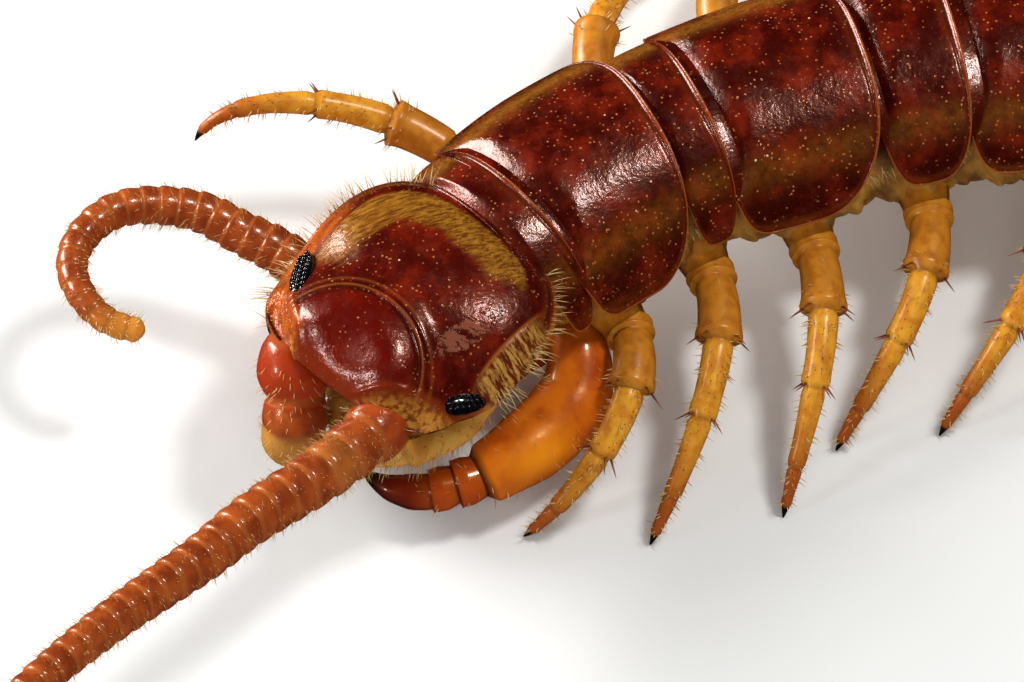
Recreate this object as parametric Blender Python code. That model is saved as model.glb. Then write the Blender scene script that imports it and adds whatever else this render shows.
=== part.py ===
"""Brown stone centipede (Lithobius type), a life-size model that stands on its fifteen pairs of legs.

Metres, +Z up, the floor at z = 0, the animal's front toward -Y and its left side toward +X. Where nothing
else is said, a size is a share of the head's width. The pose comes from the headings of the trunk, the reach
and swing of each leg and a few points along each feeler and claw.
"""
import math

import bmesh
import bpy
import numpy as np

MM = 0.001
HEAD_WIDTH = 3.6 * MM
GAP = 0.3 * MM            # between nodes that meet face to face
SMALL_GAP = 0.1 * MM      # the same between parts that are themselves only about half a millimetre thick

# Head
HEAD_AT = np.array((-0.08, -13.80)) * MM   # its centre, which puts the origin under the model's middle
HEAD_HEADING = 37.5       # degrees that it is turned to its left
RIM_HEIGHT = 0.80         # from the floor to the rear rim of the head shield
HEAD_BACK = 0.46          # from the head's centre to where the trunk's line starts
HALF_LENGTH, HALF_WIDTH = 0.467, 0.50
FRONT_POWER, REAR_POWER = 3.0, 2.8   # of the superellipse that the shield's outline is
LEFT_NOTCH, RIGHT_NOTCH = 0.10, 0.02     # shares of its reach that the rim gives up beside the eyes
NOTCH_TURN, NOTCH_SPREAD = 1.12, 0.24    # where on the rim, in radians from the front, and how far round
DOME, DOME_POWER = 0.15, 2.4         # height of the shield over its rim, and how flat it is in the middle
STEEPNESS, EYE_STEEPNESS = 0.60, 0.95    # how slanting the dome's sides are, and the same by the eyes
EDGE_HEIGHT, EDGE_POWER = 0.02, 12   # the shield's own edge over the rim, and how sharp it is
SIDE_DROOP, EYE_DROOP = 0.03, 0.08   # how far the rim hangs lower at the sides and below the eyes
DROOP_TURN, DROOP_SPREAD = 1.2, 0.38
HEAD_DEPTH, LIP_DEPTH = 0.17, 0.03   # of the head below its rim in the middle and at its ends
HEAD_STATIONS = (0.466, 0.455, 0.42, 0.34, 0.22, 0.07, -0.10, -0.25, -0.36, -0.425, -0.455)
SOCKET = (0.43, 0.245, 0.71)         # middle of the left feeler's socket; the right one is its mirror image
SOCKET_WIDTH = 1.04 * MM
# Eyes: forward and left of the head's centre, half length, half width and degrees that it faces upward
EYES = {"left": (0.170, 0.410, 0.095, 0.041, 64), "right": (0.208, -0.357, 0.122, 0.043, 70)}
EYE_TURN = 34             # degrees that an eye's front end is turned inward
EYE_RISE, EYE_DEPTH, LENS_RISE = 0.036, 0.05, 0.009   # its bulge, its hidden depth and its lenses' knobs
EYE_BASE = ((0.92, -0.05), (1.0, -0.035), (1.0, 0.0))   # shares of its size and rises below the lenses
EYE_ROWS = (0.84, 0.62, 0.38, 0.16)  # shares of its size at the rows of lenses
EYE_SIDES = 16

# Trunk: each plate's length and half width, from the first plate back
PLATES = ((0.58, 0.50), (0.20, 0.445), (0.66, 0.495), (0.36, 0.47), (0.70, 0.50),
          (0.27, 0.485), (0.68, 0.51), (0.72, 0.52), (0.30, 0.50), (0.75, 0.525),
          (0.33, 0.50), (0.69, 0.51), (0.35, 0.47), (0.57, 0.45), (0.42, 0.38))
TOOTHED = (9, 11, 13)     # plates whose rear corners are drawn out into teeth
TOOTH, TOOTH_FROM = 0.10, 0.72   # length of these teeth, and the share of the half width where they start
COLLAR, COLLAR_HALF_WIDTH = 0.095, 0.44   # the narrow plate between the head and the first trunk plate
CROWN, DROOP, BELLY = 0.165, 0.14, 0.45   # the plates' middle, their sides and the belly, up and down
# Rings along a plate: share of its length, then of its edge, how deep it is sunk and its share of the width
PLATE_STATIONS = ((0.0, 0.0, 0.05, 0.94), (0.0, 0.6, 0.02, 0.95), (0.0, 1.6, 0.0, 0.975),
                  (0.45, 0.0, 0.0, 1.0), (0.74, 0.0, 0.0, 0.995), (1.0, -0.8, 0.0, 0.955),
                  (1.0, -0.25, 0.006, 0.925))
PLATE_EDGE, LONGEST_EDGE_SHARE = 0.07, 0.22
PLATE_END = (0.05, 0.94)  # how deep the last ring of a length of trunk is sunk, and its share of the width
COLLAR_STATIONS = ((0.0, 0.03, 0.88), (0.2, 0.012, 0.90), (0.7, 0.015, 0.93))   # share, sink, width
COLLAR_CROWN, COLLAR_DROOP, COLLAR_BELLY = 0.15, 0.11, 0.40
COLLAR_SIDE = 0.90        # share of the collar's half width that its soft side takes
TAIL_LENGTH, TAIL_HALF_WIDTH, TAIL_CROWN, TAIL_DROOP, TAIL_BELLY = 0.42, 0.30, 0.13, 0.06, 0.30
TAIL_STATIONS = ((0.0, 0.90), (0.12, 0.96), (0.45, 0.86), (0.55, 0.74), (0.85, 0.60), (1.0, 0.34))
PLATE_ANGLES = np.radians((0, 16, 32, 48, 63, 77, 90))   # round the arch of a plate or of the head shield
# Below the rim: shares of the half width and of the depth, first at the rim's underside, then along the soft
# side and in to the middle of the belly
RIM_FOLD = np.array((0.985, 0.11))
SIDE = np.array(((0.84, 0.18), (0.86, 0.32), (0.80, 0.62), (0.62, 0.87), (0.40, 0.97), (0.0, 1.0)))
HEADING_KEYS = ((0.0, 34), (0.15, 32), (0.7, 18), (1.2, 10), (2.15, 0), (4.1, -8), (5.3, -5), (6.4, 1),
                (8.2, 5))            # distance behind the head and heading there in degrees
HEIGHT_KEYS = ((0.0, 0.78), (1.2, 0.75), (4.0, 0.72), (8.2, 0.62))   # the same with the line's height
TRUNK_NODES = (("trunk_1_to_4", 1, 4), ("trunk_5_to_8", 5, 8), ("trunk_9_to_12", 9, 12),
               ("trunk_13_to_15", 13, 15))

# Legs: how far each swings forward of straight out, in degrees, and how far it reaches
SWING = {"left": (71, 41, 27, 38, 38, 24, 8, -4, 4, 10, -2, -16, -30, -46, -62),
         "right": (47, -50, -40, -22, -2, 14, 18, 8, -6, -14, -6, -12, -28, -44, -60)}
REACH = {"left": (0.75, 0.96, 0.95, 0.88, 0.93, 1.0, 1.04, 1.08, 1.10, 1.13, 1.16, 1.20, 1.30, 1.75, 2.30),
         "right": (1.0, 0.96, 0.97, 0.98, 1.0, 1.02, 1.05, 1.08, 1.10, 1.13, 1.16, 1.20, 1.30, 1.75, 2.30)}
LIFTED = {("right", 1): 0.48}        # the one foot that is off the floor, held beside the head, and how high
HIP_AT = (0.24, 0.30) + 13 * (0.5,)  # share of each segment's length where its legs leave it
HIP_SIDE, HIP_CLEARANCE, HIP_DROP = 0.80, 0.03, 0.34   # share of the half width, further out, and down
# A leg's curve leaves the hip for the knee and comes to the foot from the shin, each so far out, toward the
# foot and up, and bows more the further the leg swings
KNEE, KNEE_BOW = (0.36, 0.05, 0.08), 0.10
SHIN, SHIN_BOW = (0.03, -0.20, 0.28), 0.17
LEG_SIDES = 8
HIND_PAIRS, HIND_GROWTH = (14, 15), 1.15   # the thicker pairs, and by how much at the hip
# Along a leg: the share of its length and its diameter in millimetres, from the hip to the claw
LEG_PROFILE = np.array(((0.0, 0.78), (0.06, 0.86), (0.11, 0.60), (0.25, 0.66), (0.29, 0.54), (0.51, 0.58),
                        (0.56, 0.50), (0.79, 0.52), (0.835, 0.42), (0.94, 0.32), (0.97, 0.22), (1.0, 0.14)))

# Feelers: name, first and last diameter in millimetres, joints, points forward, left and up from the floor
FEELERS = (
    ("antenna_left_base", 0.80, 0.60, 6,
     ((0.46, 0.24, 0.72), (0.76, 0.25, 0.79), (1.10, 0.235, 0.88), (1.38, 0.245, 0.95))),
    ("antenna_left_tip", 0.58, 0.32, 11,
     ((1.41, 0.247, 0.96), (1.88, 0.25, 1.10), (2.40, 0.30, 1.24), (2.85, 0.42, 1.30), (3.15, 0.56, 1.29))),
    ("antenna_right_base", 0.96, 0.50, 8,
     ((0.41, -0.22, 0.70), (0.46, -0.165, 0.61), (0.53, -0.10, 0.50), (0.545, -0.10, 0.40),
      (0.47, -0.17, 0.34), (0.32, -0.28, 0.38), (0.14, -0.34, 0.45), (0.04, -0.47, 0.475))),
    ("antenna_right_bend", 0.50, 0.46, 5,
     ((0.028, -0.51, 0.48), (0.03, -0.627, 0.50), (0.086, -0.803, 0.54), (0.136, -0.961, 0.57),
      (0.254, -1.106, 0.60), (0.36, -1.17, 0.615))),
    ("antenna_right_tip", 0.46, 0.34, 5,
     ((0.39, -1.182, 0.62), (0.551, -1.18, 0.62), (0.661, -1.114, 0.61), (0.719, -0.991, 0.60),
      (0.717, -0.865, 0.58), (0.653, -0.748, 0.56))),
)
PINCH, END_PINCH = 0.84, 0.70        # of a feeler's diameter between its joints and at a node's ends

# Poison claws: points forward, left and up from the floor; shares of the length and diameters in millimetres
CLAW_LINE = ((-0.46, 0.43, 0.28), (-0.34, 0.50, 0.25), (-0.17, 0.505, 0.23), (0.0, 0.485, 0.23),
             (0.12, 0.45, 0.22), (0.22, 0.395, 0.21), (0.30, 0.34, 0.20), (0.36, 0.26, 0.20),
             (0.385, 0.19, 0.20), (0.395, 0.10, 0.20))
CLAW_PROFILE = np.array(((0.0, 0.64), (0.06, 0.92), (0.20, 1.06), (0.40, 1.02), (0.56, 0.80), (0.62, 0.60),
                         (0.65, 0.64), (0.70, 0.54), (0.73, 0.56), (0.84, 0.42), (0.93, 0.24), (1.0, 0.08)))
CLAW_FLATTENING, CLAW_SIDES = 0.92, 12
CLAW_SPREADS = {"left": 1.0, "right": 1.06}   # how far out each claw is held, as a multiple of CLAW_LINE's
# The plate between the claws: forward, half width, underside and top at each ring
CLAW_PLATE = ((-0.46, 0.30, 0.16, 0.40), (-0.43, 0.32, 0.13, 0.44), (-0.34, 0.29, 0.12, 0.45),
              (-0.20, 0.28, 0.13, 0.43), (-0.06, 0.26, 0.16, 0.40), (0.02, 0.20, 0.19, 0.37))
CLAW_PLATE_POWERS = (0.6, 0.8)       # how square its section is across and upright
CLAW_PLATE_NOTCH, CLAW_PLATE_SIDES = 0.035, 16
PALPS = {"palp_left": ((0.02, 0.33, 0.48), (0.145, 0.335, 0.455), (0.35, 0.25, 0.45), (0.48, 0.167, 0.44)),
         "palp_right": ((0.08, -0.10, 0.48), (0.20, -0.10, 0.47), (0.34, -0.04, 0.46), (0.46, 0.035, 0.43))}
PALP_PROFILE = np.array(((0.0, 0.46), (0.06, 0.52), (0.30, 0.52), (0.34, 0.44), (0.40, 0.52),
                         (0.66, 0.50), (0.70, 0.40), (0.76, 0.46), (0.94, 0.34), (1.0, 0.20)))

FINISHES = {               # colour and roughness
    "shell": ((0.13, 0.016, 0.008), 0.25),
    "claw": ((0.50, 0.13, 0.02), 0.22),
    "leg": ((0.60, 0.28, 0.03), 0.4),
    "antenna": ((0.36, 0.09, 0.03), 0.4),
    "eye": ((0.01, 0.01, 0.012), 0.1),
}
SHARP_ANGLE = 38           # degrees between faces above which an edge stays sharp


def clear_scene():
    for item in list(bpy.data.objects):
        bpy.data.objects.remove(item)


def material(name):
    made = bpy.data.materials.get(name)
    if made is None:
        colour, roughness = FINISHES[name]
        made = bpy.data.materials.new(name)
        made.use_nodes = True
        shader = made.node_tree.nodes["Principled BSDF"]
        shader.inputs["Base Color"].default_value = (*colour, 1)
        shader.inputs["Roughness"].default_value = roughness
        shader.inputs["Metallic"].default_value = 0
    return made


def solid(name, rings, finish):
    """Makes one closed object from rings of points, shape (stations, points, 3), with a fan at each end."""
    stations, around = rings.shape[:2]
    points = [tuple(p) for p in rings.reshape(-1, 3)]
    points += [tuple(rings[0].mean(axis=0)), tuple(rings[-1].mean(axis=0))]
    first_hub, last_hub = len(points) - 2, len(points) - 1
    last_row = (stations - 1) * around
    faces = []
    for k in range(around):
        after = (k + 1) % around
        for row in range(0, last_row, around):
            faces.append((row + k, row + after, row + around + after))
            faces.append((row + k, row + around + after, row + around + k))
        faces.append((first_hub, after, k))
        faces.append((last_hub, last_row + k, last_row + after))
    mesh = bpy.data.meshes.new(name)
    mesh.from_pydata(points, [], faces)
    work = bmesh.new()
    work.from_mesh(mesh)
    bmesh.ops.recalc_face_normals(work, faces=work.faces)
    if work.calc_volume(signed=True) < 0:
        bmesh.ops.reverse_faces(work, faces=work.faces)
    work.to_mesh(mesh)
    work.free()
    mesh.materials.append(material(finish))
    mesh.shade_smooth()
    mesh.set_sharp_from_angle(angle=math.radians(SHARP_ANGLE))
    made = bpy.data.objects.new(name, mesh)
    bpy.context.scene.collection.objects.link(made)
    return made


# Places

def facing(heading):
    """Left, back and up for a part turned by heading degrees to its left."""
    turn = math.radians(heading)
    left = np.array((math.cos(turn), math.sin(turn), 0))
    back = np.array((-math.sin(turn), math.cos(turn), 0))
    return left, back, np.array((0, 0, 1.0))


def from_head(forward, left, height):
    """Points given forward and left of the head's centre and up from the floor."""
    to_left, to_back, up = facing(HEAD_HEADING)
    forward, left, height = (np.asarray(v, float)[..., None] for v in (forward, left, height))
    return np.array((*HEAD_AT, 0)) + HEAD_WIDTH * (to_left * left - to_back * forward + up * height)


def along_trunk(distance):
    """Centre and heading of the trunk at a distance behind the head, by adding up short steps."""
    steps = np.linspace(0, distance, 200)
    headings = np.radians(np.interp(steps, *np.array(HEADING_KEYS, float).T))
    x, y = -np.trapz(np.sin(headings), steps), np.trapz(np.cos(headings), steps)
    height = np.interp(distance, *np.array(HEIGHT_KEYS, float).T)
    centre = from_head(-HEAD_BACK, 0.0, 0.0) + HEAD_WIDTH * np.array((x, y, height))
    return centre, math.degrees(headings[-1])


def side_heights(droop, depth):
    """Heights of the rim's underside and of the points of SIDE on a body that is depth deep in the middle."""
    return -droop - (depth - droop) * np.append(RIM_FOLD[1], SIDE[:, 1])


# Trunk: a tube with a shell plate raised on top of each segment

def section(half_width, crown=CROWN, sink=0.0, belly=BELLY, droop=DROOP, side=None):
    """Outline across the body: an arched plate with an overhanging rim, the soft side and the belly.

    The plate is a half ellipse, x = w sin a and z = (crown + droop) cos a - droop. sink lowers it and draws
    it in for a groove. side is the soft side's half width where it isn't the plate's."""
    plate = half_width * (1 - 0.9 * sink)
    side = half_width if side is None else side
    x = np.concatenate((plate * np.sin(PLATE_ANGLES), (plate * RIM_FOLD[0],), side * SIDE[:, 0]))
    z = np.concatenate(((crown - sink + droop) * np.cos(PLATE_ANGLES) - droop, side_heights(droop, belly)))
    return np.stack((np.concatenate((x, -x[-2:0:-1])), np.concatenate((z, z[-2:0:-1]))), axis=1)


def corner_teeth(outline):
    """How far each point of a ring is drawn back so that the plate's rear corners end in teeth."""
    share = np.abs(outline[:, 0]) / np.abs(outline[:, 0]).max()
    on_plate = outline[:, 1] > -0.5 * DROOP
    return np.where(on_plate, TOOTH * np.clip((share - TOOTH_FROM) / (1 - TOOTH_FROM), 0, 1), 0.0)


def trunk_ring(distance, outline, drawn_back=0.0):
    """The outline as a ring of points across the trunk, each drawn back by its share of the head's width."""
    centre, heading = along_trunk(distance)
    left, back, up = facing(heading)
    drawn = np.broadcast_to(drawn_back, outline.shape[:1])
    return centre + HEAD_WIDTH * (outline[:, :1] * left + outline[:, 1:] * up + drawn[:, None] * back)


def plate_start(number):
    return COLLAR + sum(length for length, _ in PLATES[:number - 1])


def collar_rings():
    """The narrow plate behind the head, which starts one gap behind the head's rear rim."""
    start = GAP / HEAD_WIDTH
    rings = []
    for share, sink, width in COLLAR_STATIONS:
        outline = section(COLLAR_HALF_WIDTH * width, COLLAR_CROWN, sink, COLLAR_BELLY, COLLAR_DROOP,
                          COLLAR_SIDE * COLLAR_HALF_WIDTH)
        rings.append(trunk_ring(start + share * (COLLAR - start), outline))
    return rings


def build_trunk():
    """Four lengths of trunk, one gap apart, each with its plates."""
    half_gap = 0.5 * GAP / HEAD_WIDTH
    for name, first, last in TRUNK_NODES:
        rings = collar_rings() if first == 1 else []
        for number in range(first, last + 1):
            length, half_width = PLATES[number - 1]
            edge = min(PLATE_EDGE / length, LONGEST_EDGE_SHARE)
            for along, edges, sink, width in PLATE_STATIONS:
                share = along + edges * edge
                outline = section(half_width * width, sink=sink, side=half_width)
                cut = half_gap if number == first > 1 and share == 0 else 0
                has_teeth = (number in TOOTHED and number != last and share > TOOTH_FROM) or (
                    number > first and number - 1 in TOOTHED and share == 0)
                rings.append(trunk_ring(plate_start(number) + share * length + cut, outline,
                                        corner_teeth(outline) if has_teeth else 0))
        length, half_width = PLATES[last - 1]
        sink, width = PLATE_END
        end = section(half_width * width, sink=sink, side=half_width)
        rings.append(trunk_ring(plate_start(last) + length - half_gap, end))
        solid(name, np.array(rings), "shell")


def build_tail_end():
    """The short last plates and the tail lobes behind the hindmost legs."""
    start = plate_start(15) + PLATES[14][0] + 0.5 * GAP / HEAD_WIDTH
    rings = []
    for share, scale in TAIL_STATIONS:
        outline = section(TAIL_HALF_WIDTH * scale, TAIL_CROWN * scale, 0.0, TAIL_BELLY * scale,
                          TAIL_DROOP * scale)
        rings.append(trunk_ring(start + share * TAIL_LENGTH, outline))
    solid("tail_end", np.array(rings), "shell")


# Tubes: legs, feelers, palps and claws are rings carried along a smooth line

def smooth_line(points, places):
    """A Catmull-Rom curve through the points, read at shares of its length."""
    points = np.asarray(points, float)
    ends = np.vstack((2 * points[0] - points[1], points, 2 * points[-1] - points[-2]))
    t = np.linspace(0, 1, 24, endpoint=False)[:, None]
    fine = []
    for a, b, c, d in zip(ends, ends[1:], ends[2:], ends[3:]):
        fine.append(0.5 * (2 * b + (c - a) * t + (2 * a - 5 * b + 4 * c - d) * t**2
                           + (3 * b - a - 3 * c + d) * t**3))
    fine = np.vstack((*fine, points[-1:]))
    run = np.concatenate(((0,), np.cumsum(np.linalg.norm(np.diff(fine, axis=0), axis=1))))
    return np.stack([np.interp(places * run[-1], run, fine[:, axis]) for axis in range(3)], axis=1)


def tube(line, across, sides, flatten=1.0):
    """Rings round a line: across is the diameter at each point, and flatten the height over the width."""
    ahead = np.gradient(line, axis=0)
    ahead /= np.linalg.norm(ahead, axis=1)[:, None]
    turns = np.linspace(0, 2 * math.pi, sides, endpoint=False)[:, None]
    up = np.array((0, 0, 1.0))
    rings = []
    for point, direction, diameter in zip(line, ahead, across):
        side = np.cross(direction, up)
        side /= np.linalg.norm(side)
        up = np.cross(side, direction)
        rings.append(point + 0.5 * diameter * (np.cos(turns) * side + flatten * np.sin(turns) * up))
    return np.array(rings)


def hip(number, side):
    """Where a leg starts, one gap off the trunk's side, with the directions out of the body, back and up."""
    sign = 1 if side == "left" else -1
    length, half_width = PLATES[number - 1]
    centre, heading = along_trunk(plate_start(number) + HIP_AT[number - 1] * length)
    left, back, up = facing(heading)
    out = sign * left
    place = centre + HEAD_WIDTH * (out * (HIP_SIDE * half_width + HIP_CLEARANCE) - up * HIP_DROP) + GAP * out
    return place, out, back, up


def leg_line(number, side):
    """The leg's middle line, a Bezier curve: out of the hip, over a low knee, and down to the floor.

    The further forward or back the leg swings, the sooner it turns that way and the more it bows."""
    start, out, back, up = hip(number, side)
    swing = math.radians(SWING[side][number - 1])
    toward = math.cos(swing) * out - math.sin(swing) * back
    reach = REACH[side][number - 1] * HEAD_WIDTH
    foot = (start + toward * reach) * (1, 1, 0) + up * LIFTED.get((side, number), 0) * HEAD_WIDTH
    lean = math.sin(swing)**2
    knee_bow, shin_bow = KNEE_BOW * lean, SHIN_BOW * lean
    knee = start + HEAD_WIDTH * ((KNEE[0] - knee_bow) * out + (KNEE[1] + knee_bow) * toward + KNEE[2] * up)
    shin = foot + HEAD_WIDTH * ((SHIN[0] + shin_bow) * out + SHIN[1] * toward + SHIN[2] * up)
    t = np.linspace(0, 1, 60)[:, None]
    return (1 - t)**3 * start + 3 * (1 - t)**2 * t * knee + 3 * (1 - t) * t**2 * shin + t**3 * foot


def build_legs():
    """Thirty legs, each ending in a small flat ring that stands on the floor or, on the raised one, level."""
    shares, diameters = LEG_PROFILE.T
    for side in ("left", "right"):
        for number in range(1, 16):
            line = smooth_line(leg_line(number, side), shares)
            growth = HIND_GROWTH if number in HIND_PAIRS else 1.0
            across = diameters * MM * np.linspace(growth, 1, len(shares))
            rings = tube(line, across, LEG_SIDES)
            foot = rings[-1] - line[-1]
            turns = np.arctan2(foot[:, 1], foot[:, 0])
            flat = np.stack((np.cos(turns), np.sin(turns), 0 * turns), axis=1)
            rings[-1] = line[-1] + 0.5 * across[-1] * flat
            solid(f"leg_{side}_{number:02d}", rings, "leg")


def build_feelers():
    """Two feelers of short bead-like joints. The right one is drawn down to the mouth and curls beside it."""
    for name, first, last, joints, points in FEELERS:
        stations = 2 * joints + 1
        line = smooth_line(from_head(*np.array(points).T), np.linspace(0, 1, stations))
        bead = np.where(np.arange(stations) % 2, 1.0, PINCH)
        bead[[0, -1]] = END_PINCH
        solid(name, tube(line, np.linspace(first, last, stations) * MM * bead, LEG_SIDES), "antenna")


def build_claws():
    """The poison claws under the head: a stout first joint, two short ring joints and a curved fang."""
    shares, diameters = CLAW_PROFILE.T
    for side, sign in (("left", 1), ("right", -1)):
        forward, left, height = np.array(CLAW_LINE).T
        line = smooth_line(from_head(forward, sign * CLAW_SPREADS[side] * left, height), shares)
        solid(f"poison_claw_{side}", tube(line, diameters * MM, CLAW_SIDES, CLAW_FLATTENING), "claw")


def build_claw_plate():
    """The plate under the head and between the claws, with a blunt notched front edge."""
    turns = np.linspace(0, 2 * math.pi, CLAW_PLATE_SIDES, endpoint=False)
    across, upright = (np.sign(v) * np.abs(v)**power
                       for v, power in zip((np.cos(turns), np.sin(turns)), CLAW_PLATE_POWERS))
    rings = [from_head(forward + 0 * across, half_width * across, low + (high - low) * (1 + upright) / 2)
             for forward, half_width, low, high in CLAW_PLATE]
    _, back, _ = facing(HEAD_HEADING)
    rings[-1] += HEAD_WIDTH * CLAW_PLATE_NOTCH * (1 - np.abs(across))[:, None] * back
    solid("claw_plate", np.array(rings), "claw")


def build_palps():
    shares, diameters = PALP_PROFILE.T
    for name, points in PALPS.items():
        line = smooth_line(from_head(*np.array(points).T), shares)
        solid(name, tube(line, diameters * MM, LEG_SIDES), "claw")


# Head: a domed shield with an overhanging rim, the face below it and the eyes at its sides

def bell(turn, middle, spread):
    """1 at the middle on either side of the head, falling to 0 as exp(-(gap / spread)^2)."""
    return np.exp(-((np.abs(turn) - middle) / spread)**2)


def head_edge(turn):
    """How far the rim is from the centre in the direction turn, which is measured from the front in radians:
    (|cos / a|^p + |sin / b|^p)^(-1/p), cut in a little beside each eye."""
    power = np.where(np.cos(turn) > 0, FRONT_POWER, REAR_POWER)
    along, aside = np.abs(np.cos(turn) / HALF_LENGTH), np.abs(np.sin(turn) / HALF_WIDTH)
    reach = (along**power + aside**power)**(-1 / power)
    notch = np.where(turn > 0, LEFT_NOTCH, RIGHT_NOTCH)
    return reach * (1 - notch * bell(turn, NOTCH_TURN, NOTCH_SPREAD))


def rim_droop(turn):
    return SIDE_DROOP * np.sin(turn)**2 + EYE_DROOP * bell(turn, DROOP_TURN, DROOP_SPREAD)


def shield_height(forward, left):
    """The shield's height over its rear rim: (dome + droop) (1 - r^p)^e - droop with r the share of the way
    from the centre to the rim, and the height of its own edge."""
    turn = np.arctan2(left, forward)
    reach = np.clip(np.hypot(forward, left) / head_edge(turn), 0, 1)
    steepness = STEEPNESS + (EYE_STEEPNESS - STEEPNESS) * bell(turn, DROOP_TURN, DROOP_SPREAD)
    droop = rim_droop(turn)
    dome = (DOME + droop) * (1 - reach**DOME_POWER)**steepness - droop
    return dome + EDGE_HEIGHT * (1 - reach**EDGE_POWER)


def half_section(forward, sign):
    """The head's outline across it on one side, from the middle of the top to the middle of the underside."""
    turns = sign * np.linspace(0.001, math.pi - 0.001, 400)
    edge = head_edge(turns)
    along, aside = edge * np.cos(turns), edge * np.abs(np.sin(turns))
    half_width = np.interp(-forward, -along, aside)
    droop = rim_droop(np.arctan2(half_width, forward))
    depth = LIP_DEPTH + HEAD_DEPTH * (1 - (abs(forward) / HALF_LENGTH)**4)**0.5
    x = half_width * np.concatenate((np.sin(PLATE_ANGLES), RIM_FOLD[:1], SIDE[:, 0]))
    top = shield_height(forward, sign * half_width * np.sin(PLATE_ANGLES))
    return sign * x, np.concatenate((top, side_heights(droop, depth)))


def build_head():
    rings = []
    for forward in HEAD_STATIONS:
        x, z = half_section(forward, 1)
        other_x, other_z = half_section(forward, -1)
        x, z = np.concatenate((x, other_x[-2:0:-1])), np.concatenate((z, other_z[-2:0:-1]))
        rings.append(from_head(forward + 0 * x, x, RIM_HEIGHT + z))
    head = solid("head", np.array(rings), "shell")
    for side, sign in (("left", 1), ("right", -1)):
        forward, left, height = SOCKET
        bpy.ops.mesh.primitive_ico_sphere_add(subdivisions=2, radius=0.5 * SOCKET_WIDTH,
                                              location=from_head(forward, sign * left, height))
        cut_away(head, bpy.context.object)
        pocket = [eye_oval(side, 1.0, rise, SMALL_GAP) for rise in (-EYE_DEPTH, 4 * EYE_DEPTH)]
        cut_away(head, solid("eye_pocket", np.array(pocket), "shell"))


def cut_away(body, cutter):
    """Cuts the cutter out of the body, then removes the cutter."""
    cut = body.modifiers.new("cut", "BOOLEAN")
    cut.operation = "DIFFERENCE"
    cut.object = cutter
    bpy.context.view_layer.objects.active = body
    bpy.ops.object.modifier_apply(modifier=cut.name)
    bpy.data.objects.remove(cutter)


def eye_oval(side, share, rise, margin=0.0):
    """A ring of an eye, at a share of its size and a rise out of the head, larger all round by a margin."""
    forward, left, half_length, half_width, tilt = EYES[side]
    sign = 1 if side == "left" else -1
    to_left, to_back, up = facing(HEAD_HEADING)
    tilt, turn = math.radians(tilt), math.radians(EYE_TURN)
    outward = sign * to_left * math.cos(tilt) + up * math.sin(tilt)
    inward = -sign * to_left * math.sin(tilt) + up * math.cos(tilt)
    ahead = -to_back * math.cos(turn) + inward * math.sin(turn)
    beside = to_back * math.sin(turn) + inward * math.cos(turn)
    grown = margin / HEAD_WIDTH
    turns = np.linspace(0, 2 * math.pi, EYE_SIDES, endpoint=False)
    along = (half_length * share + grown) * np.cos(turns)
    across = (half_width * share + grown) * np.sin(turns)
    out = rise - grown * (rise < 0) + 0 * turns
    middle = from_head(forward, left, RIM_HEIGHT + shield_height(forward, left))
    return middle + HEAD_WIDTH * (along[:, None] * ahead + across[:, None] * beside + out[:, None] * outward)


def build_eyes():
    """Each is an oval patch of small lenses that bulges a little, from its hidden back to its middle."""
    knobs = LENS_RISE * (np.arange(EYE_SIDES) % 2)
    for side in EYES:
        rings = [eye_oval(side, share, rise) for share, rise in EYE_BASE]
        for row, share in enumerate(EYE_ROWS):
            rise = EYE_RISE * math.sqrt(1 - share**2)
            rings.append(eye_oval(side, share, rise + np.roll(knobs, row)))
        solid(f"eye_{side}", np.array(rings), "eye")


def build_all():
    clear_scene()
    build_head()
    build_eyes()
    build_trunk()
    build_tail_end()
    build_legs()
    build_feelers()
    build_claws()
    build_claw_plate()
    build_palps()


build_all()
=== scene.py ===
"""Dresses the brown stone centipede: shell plates, soft skin, feelers, poison claws, legs, eyes and
bristles. Places are in head widths and are turned into metres where they are placed. The animal's front is
toward -Y."""
import math

import bpy
import numpy as np
from mathutils import Matrix


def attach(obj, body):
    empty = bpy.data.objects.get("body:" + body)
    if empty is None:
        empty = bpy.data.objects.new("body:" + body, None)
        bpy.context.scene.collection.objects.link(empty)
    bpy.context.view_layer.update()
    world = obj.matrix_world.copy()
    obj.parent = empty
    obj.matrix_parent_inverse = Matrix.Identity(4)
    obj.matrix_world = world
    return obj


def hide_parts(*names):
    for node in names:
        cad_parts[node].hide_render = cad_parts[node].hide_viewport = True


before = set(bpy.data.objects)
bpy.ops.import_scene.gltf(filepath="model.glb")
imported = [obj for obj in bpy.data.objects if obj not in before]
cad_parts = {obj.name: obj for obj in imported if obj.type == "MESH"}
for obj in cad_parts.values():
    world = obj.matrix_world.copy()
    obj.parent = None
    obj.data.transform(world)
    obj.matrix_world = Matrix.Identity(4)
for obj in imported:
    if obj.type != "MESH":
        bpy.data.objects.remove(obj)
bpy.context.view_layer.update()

# The head shield
# The real one is a single low dome of hard glossy shell, dark chestnut with a thin see-through rim, folded
# under at the edge. A fine groove runs across it from eye to eye and sets off the smoother front.

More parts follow.
